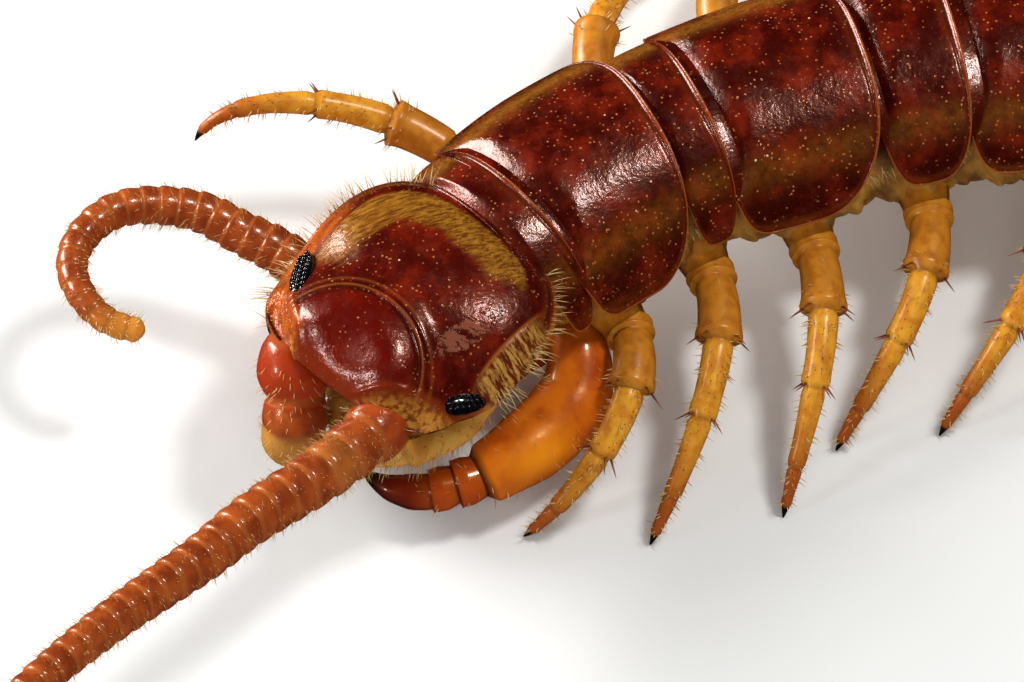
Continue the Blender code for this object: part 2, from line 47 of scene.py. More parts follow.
MM = 0.001
HEAD_WIDTH = 3.6 * MM
HEAD_AT = np.array((-0.08, -13.80)) * MM
HEAD_HEADING = 37.5                    # degrees that the head is turned to its left
RIM_HEIGHT = 0.80                      # from the floor to the shield's rim
HEAD_HALF_LENGTH, HEAD_HALF_WIDTH = 0.467, 0.50
FRONT_POWER, REAR_POWER = 3.0, 2.8     # of the superellipse that the shield's outline is
LEFT_NOTCH, RIGHT_NOTCH = 0.10, 0.02   # shares of its reach that the rim gives up beside the eyes
NOTCH_TURN, NOTCH_SPREAD = 1.12, 0.24  # from straight ahead to the notch, and how wide that is, in radians
EYE_SLOPE = 1.2                        # the turn from straight ahead to the slope that an eye is on
HEAD_TURNS, HEAD_ROWS, UNDER_ROWS = 360, 130, 40
SUTURE_AT, SUTURE_SIZE = (0.40, 0.02), (0.265, 0.30)   # middle and half axes of the groove's arch


def facing(heading):
    """Left, back and up for a part turned by heading degrees to its left; heading may be an array."""
    turn = np.radians(heading)
    flat = np.zeros_like(turn)
    left = np.stack((np.cos(turn), np.sin(turn), flat), axis=-1)
    back = np.stack((-np.sin(turn), np.cos(turn), flat), axis=-1)
    return left, back, np.array((0, 0, 1.0))


def from_head(forward, left, height):
    """Points given in head widths forward and left of the head's centre, and up from the floor."""
    to_left, to_back, up = facing(HEAD_HEADING)
    forward, left, height = np.broadcast_arrays(*(np.asarray(v, float)[..., None]
                                                  for v in (forward, left, height)))
    return np.array((*HEAD_AT, 0)) + HEAD_WIDTH * (to_left * left - to_back * forward + up * height)


def rise(value, low, high):
    """0 below low and 1 above high, with the curve 3t^2 - 2t^3 between."""
    t = np.clip((value - low) / (high - low), 0, 1)
    return t * t * (3 - 2 * t)


def fall(value, low, high):
    """1 below low and 0 above high."""
    return 1 - rise(value, low, high)


def ridge(distance, width):
    """A bell curve, exp(-(distance / width)^2)."""
    return np.exp(-(distance / width)**2)


def circle(count):
    """That many turns, evenly round a circle."""
    return np.linspace(0, 2 * math.pi, count, endpoint=False)


def unit(vectors):
    """The same directions with a length of 1."""
    return vectors / np.linalg.norm(vectors, axis=-1, keepdims=True)


def placed(name, data):
    """A new object of the scene."""
    made = bpy.data.objects.new(name, data)
    bpy.context.scene.collection.objects.link(made)
    return made


def meshed(name, points, quads, triangles, material):
    """An object with one smooth mesh of those points and faces."""
    mesh = bpy.data.meshes.new(name)
    mesh.from_pydata(points.reshape(-1, 3).tolist(), [], quads.tolist() + triangles.tolist())
    mesh.materials.append(material)
    mesh.shade_smooth()
    return placed(name, mesh)


def skin(name, grids, material, **values):
    """A closed mesh from points on a grid, (rows, columns, 3), or on several: quads between neighbours, with
    the last column joined to the first, and a fan of triangles to the middle of the first and the last row.
    Each of values is a number for every point of the grid, kept on the mesh under its name."""
    pieces, rows, columns = (1, *grids.shape)[-4:-1]   # a grid alone is one piece

    def with_middles(numbers):
        """The numbers of each grid, followed by the means of its first and its last row."""
        numbers = numbers.reshape(pieces, rows, columns, -1)
        return np.concatenate((numbers.reshape(pieces, rows * columns, -1),
                               numbers[:, [0, -1]].mean(axis=2)), axis=1)

    points = with_middles(grids)
    row, column = np.meshgrid(np.arange(rows - 1), np.arange(columns), indexing="ij")
    after = (column + 1) % columns
    quads = np.stack((row * columns + column, row * columns + after, (row + 1) * columns + after,
                      (row + 1) * columns + column), axis=-1).reshape(-1, 4)
    ring = np.arange(columns)
    last = (rows - 1) * columns + ring
    fans = np.vstack((np.stack((np.roll(ring, -1), ring, 0 * ring + rows * columns), axis=-1),
                      np.stack((last, np.roll(last, -1), 0 * ring + rows * columns + 1), axis=-1)))
    corners = points[:, np.vstack((quads[:, :3], quads[:, [0, 2, 3]], fans))] - points[:, None, :1]
    volumes = np.einsum("pij,pij->p", corners[:, :, 0], np.cross(corners[:, :, 1], corners[:, :, 2]))
    inside_out = (volumes < 0)[:, None, None]
    start = (np.arange(pieces) * points.shape[1])[:, None, None]
    quads, fans = (start + np.where(inside_out, faces[:, ::-1], faces) for faces in (quads, fans))
    made = meshed(name, points, quads.reshape(-1, 4), fans.reshape(-1, 3), material)
    for value_name, value in values.items():
        value = with_middles(np.broadcast_to(value, (pieces, rows, columns)))
        made.data.attributes.new(value_name, "FLOAT", "POINT").data.foreach_set(
            "value", value.ravel().astype(np.float32))
    return made


def set_socket(socket, value):
    """Links another node's output to a socket or sets its value. Colours are given as red, green and
    blue."""
    if isinstance(value, bpy.types.NodeSocket):
        socket.id_data.links.new(value, socket)
    else:
        socket.default_value = (*value, 1) if socket.type == "RGBA" else value


def on_shader(material, **sockets):
    """Fills sockets of the material's Principled shader, named with _ for a space."""
    shader = material.node_tree.nodes["Principled BSDF"]
    for name, value in sockets.items():
        set_socket(shader.inputs[name.replace("_", " ")], value)


def plain_material(name, **sockets):
    """A Principled material with fixed values."""
    made = bpy.data.materials.new(name)
    made.use_nodes = True
    on_shader(made, **sockets)
    return made


def node(tree, kind, inputs, **settings):
    """Adds a shader node. inputs are by name or number, each a value or another node's output."""
    made = tree.nodes.new("ShaderNode" + kind)
    for setting, value in settings.items():
        setattr(made, setting, value)
    for key, value in inputs.items():
        set_socket(made.inputs[key], value)
    return made


def value_of(material, name):
    """The numbers that the mesh keeps under a name."""
    return node(material.node_tree, "Attribute", {}, attribute_name=name).outputs["Fac"]


def plus(first, second):
    """The sum of two numbers, the first of them a node's."""
    return node(first.id_data, "Math", {0: first, 1: second}, operation="ADD").outputs[0]


def times(first, second):
    """The product of two numbers, the first of them a node's."""
    return node(first.id_data, "Math", {0: first, 1: second}, operation="MULTIPLY").outputs[0]


def eased(value, low, high, start=0.0, end=1.0):
    """The value eased from start to end between low and high."""
    return node(value.id_data, "MapRange", {"Value": value, 1: low, 2: high, 3: start, 4: end},
                interpolation_type="SMOOTHSTEP").outputs[0]


def noise(material, size, detail=3.0, stretch=(1, 1, 1), roughness=0.5, turned_by=0.0):
    """Noise on Object coordinates with features of about that size in millimetres, drawn out along stretch,
    whose axes are turned about the upright by turned_by degrees."""
    tree = material.node_tree
    place = node(tree, "TexCoord", {}).outputs["Object"]
    place = node(tree, "Mapping", {"Vector": place, "Scale": stretch,
                                   "Rotation": (0, 0, math.radians(turned_by))},
                 vector_type="TEXTURE").outputs[0]
    return node(tree, "TexNoise", {"Vector": place, "Scale": 1 / (size * MM), "Detail": detail,
                                   "Roughness": roughness}).outputs["Fac"]


def pits(material, spacing, size):
    """1 in round pits of a radius of size times their spacing in millimetres, and 0 between them."""
    tree = material.node_tree
    place = node(tree, "TexCoord", {}).outputs["Object"]
    cells = node(tree, "TexVoronoi", {"Vector": place, "Scale": 1 / (spacing * MM), "Randomness": 1.0})
    return eased(cells.outputs["Distance"], size, 0.35 * size)


def bumped(height, depth, before=None):
    """The normal bumped by height, 0 to 1, times a depth in millimetres."""
    inputs = {"Height": height, "Distance": depth * MM, "Strength": 1.0}
    if before is not None:
        inputs["Normal"] = before
    return node(height.id_data, "Bump", inputs).outputs[0]


def mixed(share, first, second):
    """The colour that goes from first to second as share goes from 0 to 1."""
    return node(share.id_data, "Mix", {0: share, 6: first, 7: second}, data_type="RGBA").outputs[2]


def clouded(material, size, low, high, first, second, detail=4.0, **settings):
    """The colour that goes from first to second as noise of that size goes from low to high."""
    return mixed(eased(noise(material, size, detail, **settings), low, high), first, second)


def painted(material, colour, *layers):
    """The colour under layers, each with its colour after its share or the name of the mesh's numbers for
    it."""
    for share, over in layers:
        colour = mixed(value_of(material, share) if isinstance(share, str) else share, colour, over)
    return colour


def shell_material(name, dark, warm):
    """Glossy shell: dark chestnut with warmer clouds, amber at its thin rim, fine orange specks in pits that
    are partly painted glints, and sparse pale specks that are partly dust and partly painted glints. Returns
    the material, its colour and its normal."""
    made = plain_material(name, Coat_Weight=0.45, Coat_Roughness=0.12, IOR=1.5,
                          Specular_Tint=(1.0, 0.42, 0.28))
    # The orange specks and the sparse pale specks are lightened as painted glints, and the pale ones are
    # dust as well.
    specks = times(pits(made, 0.078, 0.25), eased(noise(made, 0.35), 0.34, 0.60))
    colour = painted(made, clouded(made, 0.55, 0.42, 0.70, dark, warm, 6.0, roughness=0.68),
                     ("glow", (0.21, 0.028, 0.004)), (specks, (0.46, 0.15, 0.045)),
                     (pits(made, 0.42, 0.05), (0.80, 0.62, 0.38)), ("rim", (0.42, 0.095, 0.014)),
                     ("groove", (0.012, 0.0015, 0.001)))
    normal = bumped(noise(made, 0.45, 4.0), 0.020)
    normal = bumped(noise(made, 0.055, roughness=0.6), 0.0045, normal)
    normal = bumped(specks, -0.003, normal)
    on_shader(made, Base_Color=colour, Roughness=eased(noise(made, 0.2, 4.0), 0.35, 0.7, 0.22, 0.36),
              Normal=normal, Coat_Normal=normal)
    return made, colour, normal


def head_edge(turn):
    """How far the rim is from the centre: (|forward / a|^p + |left / b|^p)^(-1/p) in the direction turn, cut
    in a little where the eyes are."""
    power = np.where(np.cos(turn) > 0, FRONT_POWER, REAR_POWER)
    round_edge = (np.abs(np.cos(turn) / HEAD_HALF_LENGTH)**power
                  + np.abs(np.sin(turn) / HEAD_HALF_WIDTH)**power)**(-1 / power)
    notch = np.where(np.sin(turn) > 0, LEFT_NOTCH, RIGHT_NOTCH)
    return round_edge * (1 - notch * ridge(np.arccos(np.cos(turn)) - NOTCH_TURN, NOTCH_SPREAD))


def rim_droop(turn):
    """How far the rim hangs below its height at the rear: 0.03 sin^2(turn) and 0.08 more under the eyes."""
    return 0.03 * np.sin(turn)**2 + 0.08 * ridge(np.arccos(np.cos(turn)) - EYE_SLOPE, 0.38)


def corner_of_head(forward, left):
    """How far a place lies outside the slanting front corners, where the shell gives way to the sockets."""
    return 0.789 * (forward - 0.475) + 0.614 * (np.abs(left) - 0.12)


def suture(forward, left):
    """Distance behind the cross groove, an arch of an ellipse that is open to the front."""
    along = (forward - SUTURE_AT[0]) / SUTURE_SIZE[0]
    across = (left - SUTURE_AT[1]) / SUTURE_SIZE[1]
    return (np.hypot(along, across) - 1) * SUTURE_SIZE[0]


def head_top(reach, forward, left, edge):
    """Height over the rear rim: the dome 0.02 + (0.15 + droop) (1 - reach^2.4)^e - droop, where e is 0.6 and
    nears 1 on the slope with the eye, plus the swollen front, the cross groove, the marginal ridge and the
    sunken corners with their lips."""
    turn = np.arctan2(left, forward)
    droop = rim_droop(turn)
    steep = 0.60 + 0.35 * ridge(np.arccos(np.cos(turn)) - EYE_SLOPE, 0.40)
    height = 0.02 * (1 - reach**12) + (0.15 + droop) * (1 - reach**2.4)**steep - droop
    behind = suture(forward, left)
    height += 0.034 * ridge(behind + 0.11, 0.10) * rise(edge, 0, 0.12)
    within = rise(edge, 0.02, 0.09)
    height -= within * (0.010 * ridge(behind, 0.008) + 0.004 * ridge(behind - 0.034, 0.008))
    height += within * 0.003 * ridge(behind - 0.016, 0.008)
    sides = fall(forward, 0.02, 0.22)
    height += sides * (0.007 * ridge(edge - 0.010, 0.007) - 0.008 * ridge(edge - 0.034, 0.014))
    corner = corner_of_head(forward, left)
    lip = rise(0.36 - np.abs(left), 0, 0.05)
    height += 0.008 * lip * ridge(corner + 0.012, 0.012) * rise(edge, 0, 0.02)
    return height - 0.060 * rise(corner, -0.005, 0.05) * rise(0.16 - np.abs(np.abs(left) - 0.25), 0, 0.06)


def reach_of(forward, left):
    """Share of the way from the head's centre to its rim."""
    return np.hypot(forward, left) / head_edge(np.arctan2(left, forward))


def build_head():
    """The shield in rings of turns: its upper side from the middle out to the rim, and its underside, folded
    in under the rim and then bulging down as (1 - (1 - t)^2)^0.5. Its numbers mark where each colour
    goes."""
    turn = circle(HEAD_TURNS)
    outer = head_edge(turn)
    reach = 1 - (1 - np.linspace(0.012, 1, HEAD_ROWS)[:, None])**1.5
    edge = (1 - reach) * outer
    top = head_top(reach, reach * outer * np.cos(turn), reach * outer * np.sin(turn), edge)
    under = np.linspace(0, 1, UNDER_ROWS)[1:, None]
    sunk = rise(under, 0.1, 0.9)
    drop = -0.035 * rise(under, 0, 0.12) - 0.165 * np.sqrt(1 - (1 - sunk)**2) - rim_droop(turn) * (1 - sunk)
    reach = np.vstack((reach, 1 - 0.13 * rise(under, 0, 0.16) - 0.84 * rise(under, 0.35, 1.0)))
    forward, left = reach * outer * np.cos(turn), reach * outer * np.sin(turn)
    edge = np.vstack((edge, 0 * drop))
    upper = (np.arange(len(reach)) < HEAD_ROWS)[:, None]
    behind = suture(forward, left)
    corner = corner_of_head(forward, left)
    sunken = rise(corner, -0.01, 0.03)
    ring = reach_of(forward, left)
    rear = fall(forward, 0.02, 0.26)
    patch = np.hypot((forward - 0.01) / 0.24, (left - 0.29 + 0.25 * forward) / 0.075)
    marks = {
        "rim": np.maximum(0.9 * rear * fall(edge, 0.004, 0.016), 0.5 * sunken),
        "glow": np.maximum((1 - 0.6 * rear) * fall(edge, 0.01, 0.07), 0.8 * ridge(corner + 0.012, 0.018)),
        "groove": 0.5 * np.maximum(rise(edge, 0.02, 0.09) * ridge(behind - 0.002, 0.006),
                                   rear * ridge(edge - 0.030, 0.010)),
        "line": np.maximum(
            rise(edge, 0.03, 0.10)
            * (0.55 * ridge(behind - 0.014, 0.004) + 0.3 * ridge(behind - 0.046, 0.005)),
            0.9 * ridge(left - 0.408, 0.006) * fall(forward, 0.04, 0.12) * rise(forward, -0.30, -0.18)),
        # Where a golden streaked sheen is painted over the rear of the head: a painted reflection.
        "sheen_band": rise(ring, 0.26, 0.68) * fall(ring, 0.75, 0.87) * rear
                * (1 - rise(left, 0.16, 0.30) * rise(forward, -0.34, -0.16)),
        # The wrinkled patch, whose pale pink tint is a painted reflection.
        "patch": fall(patch, 0.45, 1),
        "fringe": rise(left, 0.405, 0.425) * fall(forward, 0.06, 0.14) * rise(forward, -0.26, -0.16),
        "socket": sunken,
        "cheek": fall(edge, 0.075, 0.11) * rise(forward, -0.22, 0.02) * fall(left, -0.24, -0.16),
        "front": fall(behind, -0.04, 0.01),
    }
    return skin("head_shield", from_head(forward, left, RIM_HEIGHT + np.vstack((top, drop))), head_shell,
                **{name: upper * mark for name, mark in marks.items()})


head_shell, shell_colour, shell_normal = shell_material("head_shell", (0.052, 0.0018, 0.0007),
                                                        (0.165, 0.0085, 0.0014))
SWEPT = HEAD_HEADING - 22              # the streaks' direction, in degrees
# The golden streaks over the rear of the head are a painted reflection, not a marking of the shell.
golden = clouded(head_shell, 0.040, 0.38, 0.64, (0.115, 0.030, 0.003), (0.37, 0.155, 0.013), 6.0,
                 stretch=(1, 8, 1), roughness=0.70, turned_by=SWEPT)
wisps = noise(head_shell, 0.13, 6.0, stretch=(1, 5, 1), roughness=0.72, turned_by=SWEPT)
sheen_share = eased(plus(wisps, value_of(head_shell, "sheen_band")), 0.92, 1.42, 0.0, 0.95)
cheeks = clouded(head_shell, 0.2, 0.4, 0.65, (0.44, 0.085, 0.004), (0.27, 0.034, 0.003))
hollow = clouded(head_shell, 0.10, 0.42, 0.62, (0.50, 0.200, 0.026), (0.20, 0.045, 0.005))
hairs = noise(head_shell, 0.045, 5.0, stretch=(5, 1, 5), roughness=0.62, turned_by=HEAD_HEADING)
woven = mixed(eased(hairs, 0.42, 0.60), (0.110, 0.012, 0.002), (0.50, 0.255, 0.050))
wrinkles = noise(head_shell, 0.075, 5.0, stretch=(2.4, 1, 1), roughness=0.62, turned_by=HEAD_HEADING + 20)
# The patch's wrinkles are real bumps, and the pale pink mixed in there below is a painted reflection.
frost_and_sheen = eased(plus(wrinkles, times(value_of(head_shell, "patch"), 0.5)), 0.93, 1.00)
shell_normal = bumped(frost_and_sheen, 0.016, shell_normal)
shell_normal = bumped(times(value_of(head_shell, "socket"), noise(head_shell, 0.15)), 0.10, shell_normal)
shell_normal = bumped(times(value_of(head_shell, "fringe"), hairs), 0.030, shell_normal)
on_shader(head_shell, Normal=shell_normal, Coat_Normal=shell_normal, Base_Color=painted(
    head_shell, shell_colour, (times(value_of(head_shell, "front"), 0.5), (0.125, 0.0030, 0.0010)),
    (sheen_share, golden), ("line", (0.34, 0.085, 0.012)), ("socket", hollow), ("cheek", cheeks),
    ("fringe", woven), (times(frost_and_sheen, 0.60), (0.30, 0.090, 0.048))))
head_shield = build_head()
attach(head_shield, "root")
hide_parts("head")

# The eyes
# Each is an oval patch of some twenty to thirty small black lenses, set close together in a shallow pit at
# the side of the head. Every lens is a glossy dome.

# Forward and left of the head's centre, half length, half width and degrees that it faces upward
EYES = {"left": (0.170, 0.410, 0.096, 0.042, 64), "right": (0.208, -0.357, 0.122, 0.044, 70)}
EYE_TURN = 34                          # degrees that its front end is turned inward
EYE_RISE = 0.030
LENS_SPACING, LENS_RADIUS = 0.0225, 0.0105
ROW_SPACING = 0.87 * LENS_SPACING      # between the rows of lenses, which stand like honeycomb


def on_head(forward, left):
    """Points of the head's upper surface, in metres."""
    reach = np.clip(reach_of(forward, left), 0, 1)
    edge = (1 - reach) * head_edge(np.arctan2(left, forward))
    return from_head(forward, left, RIM_HEIGHT + head_top(reach, forward, left, edge))


def on_eye(side, along, across, out):
    """A place on the eye: along and across the patch, which lies square to the way it faces, and out of
    it."""
    ahead_at, left_at, _, _, tilt = EYES[side]
    sign = np.sign(left_at)
    to_left, to_back, up = facing(HEAD_HEADING)
    tilt, turn = math.radians(tilt), math.radians(EYE_TURN)
    outward = sign * to_left * math.cos(tilt) + up * math.sin(tilt)
    inward = -sign * to_left * math.sin(tilt) + up * math.cos(tilt)
    ahead = -to_back * math.cos(turn) + inward * math.sin(turn)
    beside = to_back * math.sin(turn) + inward * math.cos(turn)
    along, across, out = (np.asarray(v, float)[..., None] for v in np.broadcast_arrays(along, across, out))
    return on_head(ahead_at, left_at) + HEAD_WIDTH * (along * ahead + across * beside + out * outward)


def eye_dome(side, along, across):
    """The patch's rise: EYE_RISE (1 - e^2)^0.5 with e the share of the way to its edge."""
    _, _, half_length, half_width, _ = EYES[side]
    return EYE_RISE * np.sqrt(np.clip(1 - np.hypot(along / half_length, across / half_width)**2, 0, 1))


def eye_patch(side):
    """Rings from the hidden back of the patch up over its edge to its middle."""
    _, _, half_length, half_width, _ = EYES[side]
    turn = circle(64)
    share = np.concatenate(((0.6, 1.0), np.linspace(1.0, 0.03, 14)))[:, None]
    along, across = half_length * share * np.cos(turn), half_width * share * np.sin(turn)
    out = eye_dome(side, along, across)
    out[0], out[1] = -0.07, -0.05
    return on_eye(side, along, across, out)


def lens_rings(side):
    """All the lenses of an eye: domes on a honeycomb, (lenses, rings, points, 3)."""
    _, _, half_length, half_width, _ = EYES[side]
    row, column = np.meshgrid(np.arange(-6, 7), np.arange(-9, 10), indexing="ij")
    along = (column + 0.5 * (row % 2)).ravel() * LENS_SPACING
    across = row.ravel() * ROW_SPACING
    kept = np.hypot(along / (half_length - 0.008), across / (half_width - 0.005)) < 1
    along, across = along[kept, None, None], across[kept, None, None]
    lift = np.radians((0, 30, 60, 82))[None, :, None]
    turn = circle(12)
    x = along + LENS_RADIUS * np.cos(lift) * np.cos(turn)
    y = across + LENS_RADIUS * np.cos(lift) * np.sin(turn)
    return on_eye(side, x, y, eye_dome(side, along, across) - 0.003 + LENS_RADIUS * np.sin(lift) + 0 * turn)


eye_black = plain_material("eye_black", Base_Color=(0.003, 0.003, 0.004), Roughness=0.12,
                           Specular_IOR_Level=0.5, Coat_Weight=0.8, Coat_Roughness=0.03)
on_shader(eye_black, Normal=bumped(noise(eye_black, 0.02), 0.0004))
for side in EYES:
    patch = skin(f"eye_{side}_patch", eye_patch(side), eye_black)
    lenses = skin(f"eye_{side}_lenses", lens_rings(side), eye_black)
    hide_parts(f"eye_{side}")
    for piece in (patch, lenses):
        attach(piece, "root")

# The back plates
# Fifteen plates of the same shell lie along the back, long and short ones by turns, behind a narrow collar.
# Each overlaps the next a little and has a raised, see-through rim at its sides and rear.

# The plates' lengths and half widths, front to rear
PLATES = ((0.58, 0.50), (0.20, 0.445), (0.66, 0.495), (0.36, 0.47), (0.70, 0.50),
          (0.27, 0.485), (0.68, 0.51), (0.72, 0.52), (0.30, 0.50), (0.75, 0.525),
          (0.33, 0.50), (0.69, 0.51), (0.35, 0.47), (0.57, 0.45), (0.42, 0.38))
TOOTHED = (9, 11, 13)                  # plates whose rear corners are drawn out into teeth
COLLAR, TAIL_LENGTH = 0.095, 0.30      # how much of the collar shows, and the tail plate
LENGTHS, HALF_WIDTHS = np.array(PLATES).T
# Where each plate, and then the tail, starts behind the head
STARTS = COLLAR + np.append(0, np.cumsum(LENGTHS))
HEAD_BACK = 0.46                       # from the head's centre to where the trunk starts
# Distances behind the head, with the trunk's heading in degrees and its plates' height there
HEADING_KEYS = ((0, 34), (0.15, 32), (0.7, 18), (1.2, 10), (2.15, 0), (4.1, -8), (5.3, -5), (6.4, 1),
                (8.2, 5))
HEIGHT_KEYS = ((0, 0.78), (1.2, 0.75), (4.0, 0.72), (8.2, 0.62))
CROWN, OVERLAP = 0.165, 0.035           # how high a plate arches, and how far it lies over the next
FRONT_WIDTH = 0.97                     # of a plate's front edge, as a share of its width
FOLDED = 0.28                          # share of its reach that a plate's edge is folded under
STRIPE_AT = 0.72                       # of the way out to a plate's side
PLATE_TURNS, PLATE_ROWS, FOLD_ROWS = 260, 70, 10
DROOPS = (0.25, 0.22, 0.21, 0.19, 0.18, 0.17, 0.16) + 8 * (0.15,)    # how far each plate's sides hang down


def along_trunk(distance):
    """Centres and headings of the trunk at distances behind the head: the line whose direction is the
    heading, eased between its keys and added up in small steps."""
    steps = np.linspace(-0.1, 8.8, 3000)
    turns = np.interp(steps, *np.array(HEADING_KEYS, float).T)
    step = steps[1] - steps[0]
    x = -np.cumsum(np.sin(np.radians(turns))) * step
    y = np.cumsum(np.cos(np.radians(turns))) * step
    x, y = x - np.interp(0, steps, x), y - np.interp(0, steps, y)
    height = np.interp(distance, *np.array(HEIGHT_KEYS, float).T)
    start = from_head(-HEAD_BACK, 0.0, 0.0)
    centre = start + HEAD_WIDTH * np.stack((np.interp(distance, steps, x), np.interp(distance, steps, y),
                                            height), -1)
    return centre, np.interp(distance, steps, turns)


def on_trunk(distance, left, height):
    """Points of the trunk: distance behind the head, left of its line and over its plates' rims."""
    centre, heading = along_trunk(distance)
    to_left, _, up = facing(heading)
    return centre + HEAD_WIDTH * (np.asarray(left)[..., None] * to_left + np.asarray(height)[..., None] * up)


def plate_grid(start, length, half_width, crown=CROWN, droop=0.15, tooth=0.0, powers=(9.0, 3.2), lift=0.030):
    """A plate as a closed pillow. Its outline is the superellipse |x / w|^p + |y / h|^p = 1, square in front
    and rounder behind. From the front it is the arch (crown + droop) (1 - (x / w)^2)^0.5 - droop, raised by
    lift at the rear, with a ridge along its edge, and it is folded under there. Returns the points, the
    distance to the edge measured down the slanting side, where it is the upper side, where the edge is a
    side or the rear and how far each point is to the left."""
    half = 0.5 * length
    turn = circle(PLATE_TURNS)
    fold = np.linspace(0, 1, FOLD_ROWS)[1:, None]
    reach = np.vstack((1 - (1 - np.linspace(0.02, 1, PLATE_ROWS)[:, None])**1.8,
                       1 - FOLDED * rise(fold, 0, 1.4)))
    upper = (np.arange(len(reach)) < PLATE_ROWS)[:, None]
    cos, sin = np.cos(turn), np.sin(turn)
    power = np.where(cos < 0, *powers)
    oval = (np.abs(cos)**power + np.abs(sin)**power)**(-1 / power)
    back, left = reach * oval * cos, reach * oval * sin
    slope = np.hypot(np.abs(oval * cos)**(power - 1) / half, np.abs(oval * sin)**(power - 1) / half_width)
    edge = (1 - reach) / slope
    scale = min(1.0, half / 0.25)
    width = half_width * (FRONT_WIDTH + (1 - FRONT_WIDTH) * rise(back, -1.0, 0.1))
    height = (crown + droop) * np.sqrt(np.clip(1 - (0.996 * left)**2, 0, 1)) - droop
    height += lift * (0.5 + 0.5 * back)
    rimmed = rise(np.maximum(back, 1.6 * np.abs(left) - 1), -0.2, 0.5)
    slant = (crown + droop) * np.abs(left) / (half_width * np.sqrt(1.01 - left**2))
    away = edge * np.hypot(1, 2 * slant)
    height += upper * rimmed * (0.006 * ridge(away - 0.008, 0.006) - 0.006 * ridge(away - 0.026, 0.010))
    height -= upper * (1 - rimmed) * scale * 0.085 * fall(edge / scale, -0.02, 0.20)**1.5
    gone_under = np.sqrt(np.clip((1 - reach) / FOLDED, 0, 1))
    height -= upper * 0.008 * fall(edge, 0, 0.006) + (~upper) * (0.008 + 0.020 * gone_under)
    drawn = tooth * np.clip((np.abs(left) - 0.72) / 0.28, 0, 1) * rise(back, 0.3, 1.0)
    distance = start + half + half * back + drawn
    return on_trunk(distance, width * left, height), np.where(upper, away, 0.0), upper, rimmed, left


def build_plate(name, start, length, half_width, **shape):
    """A plate of shell. Its numbers mark the clear rim, the glow and the groove inside it, and a tan stripe
    along each side, fainter on the left."""
    grid, edge, upper, rimmed, left = plate_grid(start, length, half_width, **shape)
    stripe = ridge(np.abs(left) - STRIPE_AT, 0.10) * rise(edge, 0.03, 0.08) * np.where(left > 0, 0.22, 0.55)
    piece = skin(name, grid, plate_shell, rim=upper * rimmed * fall(edge, 0.003, 0.014),
                 glow=(0.25 + 0.45 * rimmed) * fall(edge, 0.0, 0.075) * (0.1 + 0.9 * upper),
                 groove=0.6 * ridge(edge - 0.024, 0.008) * upper * rimmed, stripe=upper * stripe)
    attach(piece, "root")


plate_shell, plate_colour, _ = shell_material("plate_shell", (0.036, 0.0014, 0.0006),
                                              (0.150, 0.0085, 0.0016))
tanned = eased(noise(plate_shell, 0.12, 5.0, roughness=0.7), 0.30, 0.62, 0.35, 1.0)
tanned = times(value_of(plate_shell, "stripe"), tanned)
on_shader(plate_shell, Base_Color=mixed(tanned, plate_colour, (0.40, 0.145, 0.012)))
build_plate("plate_collar", -0.07, COLLAR + 0.09, 0.455, crown=0.15, droop=0.24, powers=(4.0, 4.0),
            lift=0.01)
for number, (length, half_width) in enumerate(PLATES, start=1):
    lead = 0.03 if number == 1 else 0.0
    build_plate(f"plate_{number:02d}", STARTS[number - 1] - lead, length + OVERLAP + lead, half_width,
                droop=DROOPS[number - 1], tooth=0.09 if number in TOOTHED else 0.0,
                powers=(9.0, 3.2 if number < 8 else 4.5) if length > 0.4 else (5.0, 4.0))
build_plate("plate_tail", STARTS[-1] - 0.02, TAIL_LENGTH, 0.28, crown=0.13, droop=0.06, powers=(4.0, 3.0))

# The soft skin
# Between the plates and the legs the body is yellowish, wrinkled and downy, bulging at each leg, and it
# closes under the belly.

SKIN_TURNS, SKIN_ROWS = 96, 900
SKIN_MIDDLE, SKIN_POWER = -0.24, 2.6   # the rings' middle below the plates' rims, and how square they are
HIP_AT = np.array((0.24, 0.30) + 13 * (0.5,))   # share of each segment's length where its legs leave it


def turn_gap(turn, middle):
    """The shortest turn from middle."""
    return (turn - middle + math.pi) % (2 * math.pi) - math.pi


def trunk_skin():
    """Rings across the body: below the plates the superellipse |x / w|^2.6 + |z / h|^2.6 = 1 around
    SKIN_MIDDLE, bulging at each leg's root and pinched between segments. Returns the points and their
    heights."""
    ends = STARTS[-1] + TAIL_LENGTH
    distance = np.linspace(-0.06, ends, SKIN_ROWS)[:, None]
    borders = np.concatenate(((0,), STARTS, (ends,)))
    widths = np.concatenate(((0.40,), HALF_WIDTHS, (0.22,)))
    half_width = np.interp(distance, 0.5 * (borders[1:] + borders[:-1]), widths)
    bulge = rise(np.abs(distance - borders).min(axis=1, keepdims=True), 0.0, 0.14)
    turn = circle(SKIN_TURNS)
    cos, sin = np.cos(turn), np.sin(turn)
    oval = (np.abs(cos)**SKIN_POWER + np.abs(sin)**SKIN_POWER)**(-1 / SKIN_POWER)
    x = half_width * (0.82 + 0.06 * bulge) * oval * cos
    z = np.where(sin > 0, 0.33, 0.19) * oval * sin
    flank = ridge(turn_gap(turn, -0.35), 0.5) + ridge(turn_gap(turn, math.pi + 0.35), 0.5)
    root = ridge(np.abs(distance - (STARTS[:-1] + HIP_AT * LENGTHS)).min(axis=1, keepdims=True), 0.11)
    folds = 0.008 * np.sin(distance * 95 + 3 * np.sin(turn * 5)) * flank
    x = x * (1 + 0.03 * np.sin(distance * 41 + 2 * sin)) + (folds + 0.05 * root * flank) * np.sign(cos)
    closing = np.sqrt(np.clip(np.minimum((distance + 0.07) / 0.05, (ends - distance) / 0.16), 0.02, 1))
    return on_trunk(distance + 0 * x, x * closing, SKIN_MIDDLE + z * closing), SKIN_MIDDLE + z


